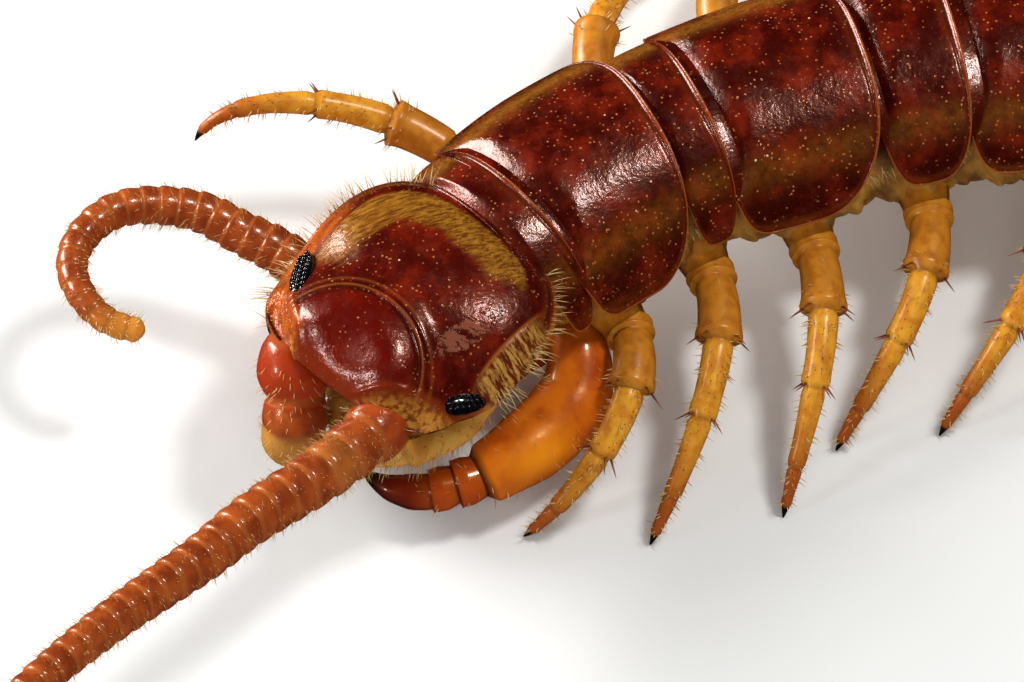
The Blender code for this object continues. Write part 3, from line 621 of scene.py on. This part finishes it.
soft_skin = plain_material("soft_skin", Roughness=0.5, Subsurface_Weight=0.15, Subsurface_Scale=0.3 * MM)
# The skin is painted darker toward its top, where it runs in under the plates' rims: painted shade.
on_shader(soft_skin, Normal=bumped(noise(soft_skin, 0.12, 4.0), 0.03), Base_Color=painted(
    soft_skin, clouded(soft_skin, 0.4, 0.38, 0.66, (0.50, 0.24, 0.030), (0.22, 0.090, 0.012)),
    (eased(value_of(soft_skin, "height"), -0.14, -0.02), (0.060, 0.006, 0.002))))
rings, height = trunk_skin()
trunk = skin("trunk_skin", rings, soft_skin, height=height)
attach(trunk, "root")
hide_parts("trunk_1_to_4", "trunk_5_to_8", "trunk_9_to_12", "trunk_13_to_15", "tail_end")

# The legs
# Fifteen pairs of slender, jointed tubes of thin amber shell, each with a hip, a ring, thigh, shin and a
# long foot that tapers to a black claw. Short spines crown the joints and fine bristles cover the rest.

# Each leg's swing ahead of straight out, in degrees, and the distance from its hip to its foot, front to
# rear
SWING = {"left": (71, 41, 27, 38, 38, 24, 8, -4, 4, 10, -2, -16, -30, -46, -62),
         "right": (47, -50, -40, -22, -2, 14, 18, 8, -6, -14, -6, -12, -28, -44, -60)}
REACH = {"left": (0.75, 0.96, 0.95, 0.88, 0.93, 1.0, 1.04, 1.08, 1.10, 1.13, 1.16, 1.20, 1.30, 1.75, 2.30),
         "right": (1.0, 0.96, 0.97, 0.98, 1.0, 1.02, 1.05, 1.08, 1.10, 1.13, 1.16, 1.20, 1.30, 1.75, 2.30)}
LIFTED = {("right", 1): 0.48}          # how far the foot is off the floor
GAP = 0.3 * MM                         # between the trunk and a leg
HIP_OUT, HIP_DROP = 0.80, 0.34         # share of the plate's half width, and how far below its rim
HIND_FROM = 13                         # the first of the legs that drag behind
LEG_COLUMNS = 24
# A leg's joints, hip first: where each ends along it, and its diameter in millimetres at its start and its
# end
JOINTS = ((0.05, 0.70, 0.62), (0.275, 0.54, 0.62), (0.54, 0.42, 0.37), (0.815, 0.335, 0.225),
          (0.955, 0.215, 0.130), (1.0, 0.115, 0.02))
HIND_JOINTS = ((0.045, 0.78, 0.70), (0.26, 0.60, 0.70), (0.46, 0.58, 0.62), (0.66, 0.46, 0.48),
               (0.85, 0.36, 0.30), (0.965, 0.28, 0.19), (1.0, 0.15, 0.02))
# Two rings of the fleshy root that ties a leg into the flank: their places out and up from the hip, and
# diameters
ROOT_OUT, ROOT_UP = np.array(((-0.24, 0.10), (-0.11, 0.05))).T[..., None]
ROOT_DIAMETERS = (0.95 * MM, 0.80 * MM)


def hip(number, side):
    """Where a leg starts at the trunk's side, with the directions out from the body and back."""
    sign = 1 if side == "left" else -1
    centre, heading = along_trunk(STARTS[number - 1] + HIP_AT[number - 1] * LENGTHS[number - 1])
    left, back, up = facing(heading)
    aside = HIP_OUT * HALF_WIDTHS[number - 1] + 0.01
    return (centre + HEAD_WIDTH * (sign * left * aside - up * HIP_DROP) + GAP * sign * left,
            sign * left, back, up)


def leg_line(number, side):
    """The leg's middle line, a smooth curve: out of the hip, over a low knee and down to the floor."""
    start, out, back, up = hip(number, side)
    swing = math.radians(SWING[side][number - 1])
    toward = math.cos(swing) * out - math.sin(swing) * back
    reach = REACH[side][number - 1] * HEAD_WIDTH
    foot = (start + toward * reach) * (1, 1, 0) + up * LIFTED.get((side, number), 0) * HEAD_WIDTH
    lean = math.sin(swing)**2
    first = start + HEAD_WIDTH * ((0.36 - 0.10 * lean) * out + (0.05 + 0.10 * lean) * toward + 0.08 * up)
    bow = 0.03 + 0.17 * lean
    second = foot + HEAD_WIDTH * (bow * out - 0.20 * toward + 0.28 * up)
    t = np.linspace(0, 1, 200)[:, None]
    return (1 - t)**3 * start + 3 * (1 - t)**2 * t * first + 3 * (1 - t) * t**2 * second + t**3 * foot


def read_line(line, shares):
    """Points at shares of a line's length."""
    run = np.concatenate(((0,), np.cumsum(np.linalg.norm(np.diff(line, axis=0), axis=1))))
    return np.stack([np.interp(np.asarray(shares) * run[-1], run, line[:, axis]) for axis in range(3)],
                    axis=1)


def tube(line, across, columns, flatten=1.0):
    """Rings round a line with a diameter at each point: point + d/2 (cos a side + flatten sin a up), where
    the side is level and up is square to it and to the line."""
    ahead = unit(np.gradient(line, axis=0))
    side = unit(np.cross(ahead, (0, 0, 1.0)))
    turn = circle(columns)[:, None]
    ring = np.cos(turn) * side[:, None] + flatten * np.sin(turn) * np.cross(side, ahead)[:, None]
    return line[:, None] + 0.5 * across[:, None, None] * ring


def with_tip(shares, across, marks, tip):
    """The shares, diameters and marks of a tube's rows in one line each, and its tip's, with metres for
    millimetres."""
    return np.append(shares, 1.0), np.append(across, tip) * MM, np.append(marks, 0.0)


def joint_profile(joints, rows=18):
    """Shares, diameters and marks of a jointed tube: each joint goes from its first to its last diameter, is
    pinched in its first tenth, swells before its end, and is marked by 1 in the crease."""
    t = np.linspace(0, 1, rows, endpoint=False)**1.15
    ends, first, last = np.array(joints).T[..., None]
    starts = np.vstack(((0,), ends[:-1]))
    length = ends - starts
    body = (first + (last - first) * t) * (1 - 0.12 * fall(t, 0, 0.09) + 0.07 * ridge(t - 0.90, 0.10))
    marks = ridge((1 - t) * length, 0.005) + 0.5 * ridge(t * length, 0.004)
    return with_tip(starts + length * t, body, marks, joints[-1][2])


leg_amber = plain_material("leg_amber", Roughness=0.36, Subsurface_Weight=0.15, Subsurface_Scale=0.15 * MM,
                           Coat_Weight=0.2, Coat_Roughness=0.2, Specular_Tint=(1.0, 0.75, 0.45))
far = value_of(leg_amber, "far")
blotched = eased(noise(leg_amber, 0.18, 4.0), 0.35, 0.7)
on_shader(leg_amber, Normal=bumped(noise(leg_amber, 0.06), 0.004), Base_Color=painted(
    leg_amber, mixed(blotched, (0.56, 0.205, 0.014), (0.40, 0.120, 0.008)),
    (eased(far, 0.25, 0.30), mixed(blotched, (0.74, 0.335, 0.022), (0.56, 0.185, 0.010))),
    (eased(far, 0.53, 0.90), (0.38, 0.075, 0.006)),
    (times(pits(leg_amber, 0.075, 0.22), eased(far, 0.26, 0.34)), (0.15, 0.030, 0.005)),
    (times(value_of(leg_amber, "joint"), eased(far, 0.1, 0.2)), (0.10, 0.014, 0.004)),
    (eased(far, 0.948, 0.962), (0.008, 0.004, 0.003))))
leg_grids = {}
for side in ("left", "right"):
    for number in range(1, 16):
        shares, across, marks = joint_profile(HIND_JOINTS if number >= HIND_FROM else JOINTS)
        start, out, _, up = hip(number, side)
        root = start + HEAD_WIDTH * (ROOT_OUT * out + ROOT_UP * up)
        line = np.vstack((root, read_line(leg_line(number, side), shares)))
        shares, marks = np.append((0, 0), shares), np.append((0, 0), marks)
        grid = tube(line, np.append(ROOT_DIAMETERS, across), LEG_COLUMNS)
        grid[..., 2] = np.maximum(grid[..., 2], 0)
        leg = skin(f"leg_skin_{side}_{number:02d}", grid, leg_amber, joint=0.8 * marks[:, None],
                   far=shares[:, None])
        leg_grids[side, number] = grid, shares
        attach(leg, "root")
        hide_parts(f"leg_{side}_{number:02d}")

# The feelers
# Each is a chain of some thirty-five short cups of orange-brown shell, each a little narrower than the one
# before, with pale soft skin between them and down all over.

# Each feeler's line of places, its first and last diameter in millimetres and the nodes that it replaces
FEELERS = {
    "left": (((0.37, 0.24, 0.70), (0.46, 0.24, 0.72), (0.76, 0.25, 0.79), (1.10, 0.235, 0.88),
              (1.38, 0.245, 0.95), (1.88, 0.25, 1.10), (2.40, 0.30, 1.24), (2.85, 0.42, 1.30),
              (3.15, 0.56, 1.29)), 0.82, 0.32,
             ("antenna_left_base", "antenna_left_tip")),
    "right": (((0.38, -0.235, 0.74), (0.41, -0.22, 0.70), (0.46, -0.165, 0.61), (0.53, -0.10, 0.50),
               (0.545, -0.10, 0.40), (0.47, -0.17, 0.34), (0.32, -0.28, 0.38), (0.14, -0.34, 0.45),
               (0.04, -0.47, 0.475), (0.03, -0.627, 0.50), (0.086, -0.803, 0.54), (0.136, -0.961, 0.57),
               (0.254, -1.106, 0.60), (0.39, -1.182, 0.62), (0.551, -1.18, 0.62), (0.661, -1.114, 0.61),
               (0.719, -0.991, 0.60), (0.717, -0.865, 0.58), (0.653, -0.748, 0.56)), 0.96, 0.34,
              ("antenna_right_base", "antenna_right_bend", "antenna_right_tip")),
}
CUPS, CUP_ROWS, FEELER_COLUMNS = 34, 12, 28
SWELLS = {"left": 0.12, "right": 0.45}   # how much the first cup swells
# Shares of the length, root first
FIRST_CUPS = {"left": (0.055, 0.042, 0.040), "right": (0.088, 0.036, 0.034)}


def smooth_line(points, per_span=24):
    """A smooth curve through the points, with the slope at each taken from its neighbours."""
    points = np.asarray(points, float)
    ends = np.vstack((2 * points[0] - points[1], points, 2 * points[-1] - points[-2]))
    a, b, c, d = (ends[k:len(ends) - 3 + k, None] for k in range(4))
    t = np.linspace(0, 1, per_span, endpoint=False)[:, None]
    fine = 0.5 * (2 * b + (c - a) * t + (2 * a - 5 * b + 4 * c - d) * t**2 + (3 * b - a - 3 * c + d) * t**3)
    return np.vstack((fine.reshape(-1, 3), points[-1:]))


def feeler_profile(first, last, first_cups, swell):
    """Shares, diameters and marks along a feeler: a long first cup, then cups that get shorter to the tip,
    each widest near its end and pinched before the next."""
    rest = (np.sum(first_cups)
            + (1 - np.sum(first_cups)) * np.linspace(0, 1, CUPS - len(first_cups) + 1)**0.92)
    borders = np.concatenate(((0,), np.cumsum(first_cups), rest[1:]))
    t = np.linspace(0, 1, CUP_ROWS, endpoint=False)
    shares = borders[:-1, None] + np.diff(borders)[:, None] * t
    cup = 0.915 + 0.105 * np.sin(0.5 * math.pi * np.clip(t / 0.75, 0, 1)) - 0.13 * rise(t, 0.86, 1.0)
    swollen = 1.07 - swell + swell * np.sin(math.pi * np.clip(shares / first_cups[0] * 0.80 + 0.10, 0, 1))
    bulb = np.where(shares < first_cups[0], swollen, 1.0)
    whole = first + (last - first) * shares**0.9
    tip = np.sqrt(np.clip((1 - shares) / 0.012, 0.2, 1))
    marks = ridge(t - 0.93, 0.06) + ridge(t, 0.05) + 0 * shares
    return with_tip(shares, whole * cup * bulb * tip, marks, 0.12 * last)


feeler_brown = plain_material("feeler_brown", Roughness=0.30, Coat_Weight=0.45, Coat_Roughness=0.10,
                              Subsurface_Weight=0.1, Subsurface_Scale=0.15 * MM,
                              Specular_Tint=(1.0, 0.6, 0.4))
on_shader(feeler_brown, Normal=bumped(noise(feeler_brown, 0.05), 0.006), Base_Color=painted(
    feeler_brown, clouded(feeler_brown, 0.3, 0.35, 0.68, (0.38, 0.070, 0.010), (0.22, 0.030, 0.005)),
    (eased(value_of(feeler_brown, "far"), 0.90, 1.0), (0.70, 0.27, 0.03)), ("base", (0.34, 0.026, 0.004)),
    ("tan", (0.52, 0.230, 0.040)), ("joint", (0.44, 0.130, 0.024))))
feeler_grids = {}
for side, (points, first, last, nodes) in FEELERS.items():
    shares, across, marks = feeler_profile(first, last, FIRST_CUPS[side], SWELLS[side])
    grid = tube(read_line(smooth_line(from_head(*np.array(points).T)), shares), across, FEELER_COLUMNS)
    ends, strength = np.cumsum(FIRST_CUPS[side]), 2 * SWELLS[side]
    base = fall(shares, ends[0], ends[0] + 0.01)
    tan = rise(shares, ends[1] - 0.01, ends[1] + 0.01) * fall(shares, ends[2], ends[2] + 0.01)
    feeler = skin(f"feeler_{side}", grid, feeler_brown, joint=0.42 * marks[:, None], far=shares[:, None],
                  base=strength * base[:, None], tan=strength * tan[:, None])
    feeler_grids[side] = grid, shares
    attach(feeler, "root")
    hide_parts(*nodes)

# The poison claws
# The first pair of legs has turned into fangs: a swollen amber joint, two short rings and a curved,
# dark-tipped fang, all of thick glossy shell. They close in front of a plate with small teeth.

CLAW_LINE = ((-0.55, 0.22, 0.36), (-0.49, 0.38, 0.35), (-0.36, 0.49, 0.27), (-0.17, 0.505, 0.23),
             (0.0, 0.485, 0.23), (0.12, 0.45, 0.22), (0.22, 0.395, 0.21), (0.30, 0.34, 0.20),
             (0.36, 0.26, 0.20), (0.385, 0.19, 0.20), (0.395, 0.10, 0.20))
# A claw's joints, root first: where each ends along it, and its diameters in millimetres at shares of its
# length
CLAW_JOINTS = ((0.648, ((0, 0.55), (0.15, 0.74), (0.30, 0.90), (0.48, 1.06), (0.75, 1.02), (0.945, 0.84),
                        (1, 0.80))),
               (0.717, ((0, 0.60), (0.5, 0.68), (1, 0.66))),
               (0.790, ((0, 0.54), (0.5, 0.62), (1, 0.58))),
               (1.0, ((0, 0.50), (0.25, 0.50), (0.55, 0.36), (0.85, 0.16), (1, 0.05))))
CLAW_ROWS, CLAW_COLUMNS = 26, 56
CLAW_SIDES = (("left", 1, 1.0), ("right", -1, 1.06))   # the way that each lies and how much wider it is held


def claw_profile():
    """Shares, diameters and marks along a claw: each joint's diameter goes straight from knot to knot, with
    a low lip before its end, and is marked in the crease."""
    t = np.linspace(0, 1, CLAW_ROWS, endpoint=False)
    ends = np.array([(end,) for end, _ in CLAW_JOINTS])
    starts = np.vstack(((0,), ends[:-1]))
    length = ends - starts
    body = np.array([np.interp(t, *np.array(knots).T) for _, knots in CLAW_JOINTS])
    marks = ridge((t - 1) * length, 0.004) + ridge(t * length, 0.003) * (starts > 0)
    marks[-1] *= 0.6
    return with_tip(starts + length * t, body * (1 + 0.03 * ridge(t - 0.95, 0.05)), marks, 0.02)


claw_amber = plain_material("claw_amber", Roughness=0.28, Subsurface_Weight=0.2, Subsurface_Scale=0.3 * MM,
                            Coat_Weight=0.4, Coat_Roughness=0.07, Specular_Tint=(1.0, 0.6, 0.3))
far = value_of(claw_amber, "far")
on_shader(claw_amber, Normal=bumped(noise(claw_amber, 0.12), 0.004), Base_Color=painted(
    claw_amber, clouded(claw_amber, 0.45, 0.35, 0.68, (0.66, 0.150, 0.006), (0.42, 0.060, 0.005)),
    ("window", (0.90, 0.30, 0.008)), (eased(far, 0.635, 0.657, 0.0, 0.7), (0.34, 0.035, 0.004)),
    (eased(far, 0.743, 0.863), (0.17, 0.010, 0.003)), ("joint", (0.035, 0.005, 0.002)),
    (eased(far, 0.880, 0.957), (0.008, 0.003, 0.002)), (pits(claw_amber, 0.22, 0.07), (0.10, 0.018, 0.004))))
claw_grids = {}
for side, sign, closing in CLAW_SIDES:
    forward, left, height = np.array(CLAW_LINE).T
    shares, across, marks = claw_profile()
    line = read_line(smooth_line(from_head(forward, sign * closing * left, height)), shares)
    grid = tube(line, across, CLAW_COLUMNS, flatten=0.92)
    inner, outer = (turn_gap(circle(CLAW_COLUMNS), math.radians(90 + turn * sign)) for turn in (50, 112))
    at = shares[:, None]
    claw = skin(f"claw_{side}", grid, claw_amber, far=at,
                window=0.85 * ridge(at - 0.485, 0.103) * ridge(inner, 0.6),
                joint=np.maximum(marks[:, None], rise(at, 0.76, 0.863) * ridge(outer, 0.75)))
    claw_grids[side] = grid, shares
    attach(claw, "root")
    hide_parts(f"poison_claw_{side}")

# The plate that the claws hang on: places forward, with the half width, underside and top there
CLAW_PLATE = ((-0.46, 0.30, 0.16, 0.40), (-0.43, 0.32, 0.13, 0.44), (-0.34, 0.29, 0.12, 0.45),
              (-0.20, 0.28, 0.13, 0.43), (-0.06, 0.26, 0.16, 0.40), (0.02, 0.20, 0.19, 0.37))


def claw_plate_grid():
    """Rings along the plate: superellipses between its underside and top, with a notch in the front edge."""
    keys = np.array(CLAW_PLATE)
    place = np.linspace(0, 1, 60)
    forward, half_width, low, high = (np.interp(place, np.linspace(0, 1, len(keys)), keys[:, k])[:, None]
                                      for k in range(4))
    turn = circle(64)
    across = np.sign(np.cos(turn)) * np.abs(np.cos(turn))**0.6
    upright = np.sign(np.sin(turn)) * np.abs(np.sin(turn))**0.8
    notch = 0.035 * (1 - np.abs(across)) * rise(place, 0.7, 1.0)[:, None]
    return from_head(forward - notch, half_width * across, (low + high) / 2 + (high - low) / 2 * upright)


claw_base = skin("claw_base", claw_plate_grid(), claw_amber, joint=0.0, far=0.3, window=0.0)
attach(claw_base, "root")
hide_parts("claw_plate")

# The palps
# A short pair of jointed mouth legs, of thin golden shell with brown speckles and long down. They hang under
# the front of the head, one at each side of the mouth, and reach just past it.

PALPS = {"left": ((-0.05, 0.33, 0.49), (0.02, 0.33, 0.48), (0.145, 0.335, 0.455), (0.35, 0.25, 0.45),
                  (0.48, 0.167, 0.44)),
         "right": ((0.0, -0.12, 0.50), (0.08, -0.10, 0.48), (0.20, -0.10, 0.47), (0.34, -0.04, 0.46),
                   (0.46, 0.035, 0.43))}
PALP_JOINTS = ((0.70, 0.50, 0.50), (1.0, 0.46, 0.12))
PALP_ROWS, PALP_COLUMNS = 22, 32
palp_gold = plain_material("palp_gold", Roughness=0.35, Subsurface_Weight=0.3, Subsurface_Scale=0.25 * MM,
                           Coat_Weight=0.3, Coat_Roughness=0.15)
on_shader(palp_gold, Normal=bumped(noise(palp_gold, 0.05), 0.004), Base_Color=painted(
    palp_gold, clouded(palp_gold, 0.3, 0.40, 0.66, (0.66, 0.33, 0.045), (0.50, 0.20, 0.018)),
    (pits(palp_gold, 0.16, 0.09), (0.16, 0.04, 0.006)), ("joint", (0.15, 0.04, 0.01))))
palp_grids = {}
for side, points in PALPS.items():
    shares, across, marks = joint_profile(PALP_JOINTS, PALP_ROWS)
    grid = tube(read_line(smooth_line(from_head(*np.array(points).T)), shares), across, PALP_COLUMNS)
    palp = skin(f"palp_skin_{side}", grid, palp_gold, joint=0.8 * marks[:, None], far=shares[:, None])
    palp_grids[side] = grid, shares
    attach(palp, "root")
    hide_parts(f"palp_{side}")

# The bristles
# Tapered hairs of clear golden shell stand on the legs, feelers, palps, claws and flanks, leaning toward the
# tip, and along the rim of the head. Stout brown spines crown two joints of each leg.

rng = np.random.default_rng(38)
# Rings along a hair, and their share of its width
HAIR_AT, HAIR_TAPER = (0.0, 0.35, 0.70, 1.0), (1.0, 0.75, 0.45)
HAIR_PATCH = 0.0015                    # the size of a hair on the unwrap
# Joints that spines crown, and where round them
SPINE_JOINTS, SPINE_TURNS = (-5, -4), (0.02, 0.14, 0.40, 0.52)


def bristles(name, roots, ways, lengths, thickness, places, material, sag=0.0):
    """Tapered hairs with three sides in one mesh: root + length (t way - t^2 sag up), with the radius
    thickness / 2 shrinking to a point. OFBake keeps each hair as a small patch at its place on the skin's
    own unwrap."""
    count = len(roots)
    ways = unit(ways)
    side = unit(np.cross(ways, rng.normal(size=(count, 3))))
    other = np.cross(ways, side)
    t = np.array(HAIR_AT)[None, :, None]
    middle = roots[:, None] + lengths[:, None, None] * (t * ways[:, None] - t**2 * np.array((0, 0, sag)))
    turn = np.radians((0, 120, 240))
    ring = np.cos(turn)[:, None] * side[:, None] + np.sin(turn)[:, None] * other[:, None]
    rings = middle[:, :3, None] + 0.5 * thickness * np.array(HAIR_TAPER)[None, :, None, None] * ring[:, None]
    points = np.concatenate((rings.reshape(count, 9, 3), middle[:, 3:]), axis=1)
    k = np.arange(3)
    after = (k + 1) % 3
    sides = np.vstack([np.stack((row + k, row + after, row + 3 + after, row + 3 + k), axis=1)
                       for row in (0, 3)])
    tips = np.vstack((np.stack((6 + k, 6 + after, 9 + 0 * k), axis=1), ((2, 1, 0),)))
    start = 10 * np.arange(count)[:, None, None]
    quads, triangles = (start + sides).reshape(-1, 4), (start + tips).reshape(-1, 3)
    made = meshed(name, points, quads, triangles, material)
    corner = HAIR_PATCH * np.stack((np.cos(turn), np.sin(turn)), axis=1)
    flat = (places[:, None] + np.vstack((corner, 0.8 * corner, 0.6 * corner, ((0, 0),)))).reshape(-1, 2)
    order = np.concatenate((quads.ravel(), triangles.ravel()))
    made.data.uv_layers.new(name="OFBake").data.foreach_set("uv", flat[order].astype(np.float32).ravel())
    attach(made, "root")


def roots_on(tubes, index, at, columns, depth, lean):
    """Hairs on one of the tubes, each a grid with its shares: places at shares of its length and between its
    columns, sunk by a depth in metres, the ways outward from its middle line leaning ahead along it, and
    places on the unwrap, where each tube has a strip of its own."""
    grid, shares = tubes[index]
    rows = np.minimum(np.interp(at, shares, np.arange(len(shares))), len(shares) - 2.001)
    low, side = np.floor(rows).astype(int), np.floor(columns).astype(int)
    a, b = (rows - low)[:, None], (columns - side)[:, None]
    after = (side + 1) % grid.shape[1]
    place = ((1 - a) * ((1 - b) * grid[low, side] + b * grid[low, after])
             + a * ((1 - b) * grid[low + 1, side] + b * grid[low + 1, after]))
    middle = grid.mean(axis=1)
    outward = unit(place - ((1 - a) * middle[low] + a * middle[low + 1]))
    ahead = unit(middle[np.minimum(low + 2, len(middle) - 1)] - middle[np.maximum(low - 2, 0)])
    strip = (index + 0.1 + 0.8 * columns / grid.shape[1]) / len(tubes)
    return place - depth * outward, outward + lean * ahead, np.stack((strip, 0.02 + 0.96 * at), axis=1)


def tube_bristles(name, tubes, per_tube, low, high, lean, length, thickness):
    """Bristles scattered over tubes between the shares low and high, leaning ahead by lean, with lengths
    around length and a thickness, both in millimetres."""
    found = []
    for index, (grid, _) in enumerate(tubes):
        at = rng.uniform(low, high, per_tube)
        found.append(roots_on(tubes, index, at, rng.uniform(0, grid.shape[1], per_tube), 0.01 * MM, lean))
    places, ways, flats = (np.vstack(part) for part in zip(*found))
    ways = ways + rng.normal(0, 0.12, ways.shape)
    lengths = length * MM * rng.uniform(0.6, 1.25, len(places))
    bristles(name, places, ways, lengths, thickness * MM, flats, bristle_gold)


def leg_spines(side, legs):
    """Stout spines round the ends of two joints of each leg."""
    found = []
    for index in range(len(legs)):
        joints = HIND_JOINTS if index + 1 >= HIND_FROM else JOINTS
        at = np.repeat([joints[k][0] - 0.012 for k in SPINE_JOINTS], len(SPINE_TURNS))
        columns = np.tile(LEG_COLUMNS * np.array(SPINE_TURNS),
                          len(SPINE_JOINTS)) + rng.uniform(-0.5, 0.5, len(at))
        found.append(roots_on(legs, index, at, columns % (LEG_COLUMNS - 0.001), 0.03 * MM, 0.9))
    places, ways, flats = (np.vstack(part) for part in zip(*found))
    lengths = 0.27 * MM * rng.uniform(0.7, 1.15, len(places))
    bristles(f"leg_spines_{side}", places, ways, lengths, 0.042 * MM, flats, spine_brown)


bristle_gold = plain_material("bristle_gold", Roughness=0.35, Subsurface_Weight=0.2,
                              Subsurface_Scale=0.05 * MM)
on_shader(bristle_gold, Base_Color=clouded(bristle_gold, 0.3, 0.4, 0.65, (0.78, 0.55, 0.24),
                                           (0.55, 0.28, 0.08), 3.0))
spine_brown = plain_material("spine_brown", Roughness=0.35)
on_shader(spine_brown, Base_Color=clouded(spine_brown, 0.2, 0.4, 0.6, (0.34, 0.070, 0.012),
                                          (0.16, 0.030, 0.008), 3.0))
for side in ("left", "right"):
    legs = [leg_grids[side, number] for number in range(1, 16)]
    tube_bristles(f"leg_bristles_{side}", legs, 190, 0.20, 0.955, 0.35, 0.125, 0.020)
    leg_spines(side, legs)
# The hairs on each tube, the shares that they start and stop at, their lean, and length and thickness in
# millimetres
tube_bristles("feeler_bristles", list(feeler_grids.values()), 1500, 0.02, 0.995, 0.5, 0.13, 0.011)
tube_bristles("palp_bristles", list(palp_grids.values()), 260, 0.1, 0.98, 0.6, 0.22, 0.013)
tube_bristles("claw_bristles", list(claw_grids.values()), 130, 0.20, 0.83, 0.4, 0.16, 0.012)


def head_bristles(count=260):
    """Long hairs round the sides and rear of the head's rim."""
    turn = rng.uniform(1.42, 2 * math.pi - 0.70, count)
    reach = rng.uniform(0.955, 1.0, count)
    outer = head_edge(turn) * reach
    forward, left = outer * np.cos(turn), outer * np.sin(turn)
    height = head_top(reach, forward, left, head_edge(turn) - outer)
    roots = from_head(forward, left, RIM_HEIGHT + height - 0.004)
    ways = unit(roots - from_head(0.0, 0.0, RIM_HEIGHT)) + (0, 0, 0.35)
    ways = ways + rng.normal(0, 0.22, ways.shape)
    flat = 0.5 + 0.48 * reach[:, None] * np.stack((np.cos(turn), np.sin(turn)), axis=1)
    lengths = 0.30 * MM * rng.uniform(0.35, 1.3, count)
    bristles("head_bristles", roots, ways, lengths, 0.014 * MM, flat, bristle_gold, sag=0.25)


def flank_bristles(count=2600):
    """Down on the soft skin below the plates' rims, on both sides."""
    distance = rng.uniform(0.15, STARTS[-1], count)
    sign = np.where(rng.uniform(size=count) < 0.5, -1, 1)
    widths = np.interp(distance, STARTS[:-1] + 0.5 * LENGTHS, HALF_WIDTHS)
    drop = rng.uniform(0.06, 0.26, count)
    roots = on_trunk(distance, sign * 0.83 * widths * (1 - ((drop - 0.06) / 0.5)**2), -drop)
    to_left, to_back, up = facing(along_trunk(distance)[1])
    ways = sign[:, None] * to_left + 0.35 * to_back - 0.2 * up + rng.normal(0, 0.3, (count, 3))
    flat = np.stack((0.02 + 0.96 * distance / STARTS[-1], 0.5 + sign * (0.05 + drop)), axis=1)
    lengths = 0.20 * MM * rng.uniform(0.5, 1.3, count)
    bristles("flank_bristles", roots, ways, lengths, 0.012 * MM, flat, bristle_gold, sag=0.25)


head_bristles()
flank_bristles()

# The floor, the light and the view
# The animal stands on a plain pale floor in soft studio light: one long lamp ahead on its far side, two
# small ones in front and above, and a broad weak one. It is seen from high up on its left.

bpy.ops.mesh.primitive_plane_add(size=3.0, location=(0, 0, 0))
floor = bpy.context.object
floor.name = "floor"
floor_pale = plain_material("floor_pale", Base_Color=(0.80, 0.80, 0.78), Roughness=0.8)
on_shader(floor_pale, Normal=bumped(noise(floor_pale, 2), 0.02))
floor.data.materials.append(floor_pale)
floor.visible_glossy = False

ELEVATION, TURN, DISTANCE = 58.0, 80.0, 0.095    # the camera's, in degrees and metres
PICTURE_WIDTH, PICTURE_HEIGHT = 1024, 682
HEAD_IN_PICTURE, HEAD_WIDTH_IN_PICTURE = (412, 303), 272
SENSOR = 36.0
TARGET = np.array((0.0, -0.013, 0.0))  # what the lights face


def turned(right, up, back, place):
    """An object's matrix from its own axes and place."""
    matrix = np.eye(4)
    matrix[:3, 0], matrix[:3, 1], matrix[:3, 2], matrix[:3, 3] = right, up, back, place
    return Matrix(matrix.tolist())


def build_camera():
    """The camera, DISTANCE from the picture's middle on the head's level, with its lens set by the head's
    width."""
    elevation, turn = math.radians(ELEVATION), math.radians(TURN)
    right = np.array((math.cos(turn), math.sin(turn), 0))
    away = np.array((-math.sin(turn), math.cos(turn), 0))
    view = away * math.cos(elevation) - np.array((0, 0, math.sin(elevation)))
    up = np.cross(right, view)
    scale = HEAD_WIDTH_IN_PICTURE / HEAD_WIDTH
    middle = (from_head(0.0, 0.0, RIM_HEIGHT) + right * (PICTURE_WIDTH / 2 - HEAD_IN_PICTURE[0]) / scale
              - up * (PICTURE_HEIGHT / 2 - HEAD_IN_PICTURE[1]) / scale)
    data = bpy.data.cameras.new("camera")
    data.sensor_width = SENSOR
    data.lens = SENSOR * DISTANCE / (PICTURE_WIDTH / scale)
    data.clip_start = 1 * MM
    made = placed("camera", data)
    made.matrix_world = turned(right, up, -view, middle - view * DISTANCE)
    bpy.context.scene.camera = made


def add_light(name, distance, toward, sizes, power, along=(0, 0, 1.0), mirrored=True):
    """A soft light at a distance from its target, with two sizes in metres, the second one along a
    direction, that is mirrored in gloss or not."""
    data = bpy.data.lights.new(name, "AREA")
    data.shape, data.energy = "RECTANGLE", power
    data.size, data.size_y = sizes
    back = unit(np.array(toward))
    right = unit(np.cross(along, back))
    made = placed(name, data)
    made.matrix_world = turned(right, np.cross(back, right), back, TARGET + distance * np.array(toward))
    made.visible_glossy = mirrored


build_camera()
add_light("far_front", 0.12, (-0.53, -0.76, 0.38), (0.036, 0.085), 0.215, along=(0.64, -0.13, 0.56))
add_light("front", 0.12, (0.22, -0.88, 0.42), (0.012, 0.012), 0.022)
add_light("overhead", 0.13, (-0.08, 0.43, 0.90), (0.020, 0.020), 0.085)
add_light("fill", 0.15, (0.70, -0.10, 0.70), (0.10, 0.10), 0.055, mirrored=False)
world = bpy.data.worlds.new("studio")
world.use_nodes = True
studio = world.node_tree.nodes["Background"].inputs
studio["Color"].default_value = (0.86, 0.88, 0.90, 1)
studio["Strength"].default_value = 0.26
world.cycles_visibility.glossy = False
bpy.context.scene.world = world
bpy.context.scene.view_settings.view_transform = "Standard"
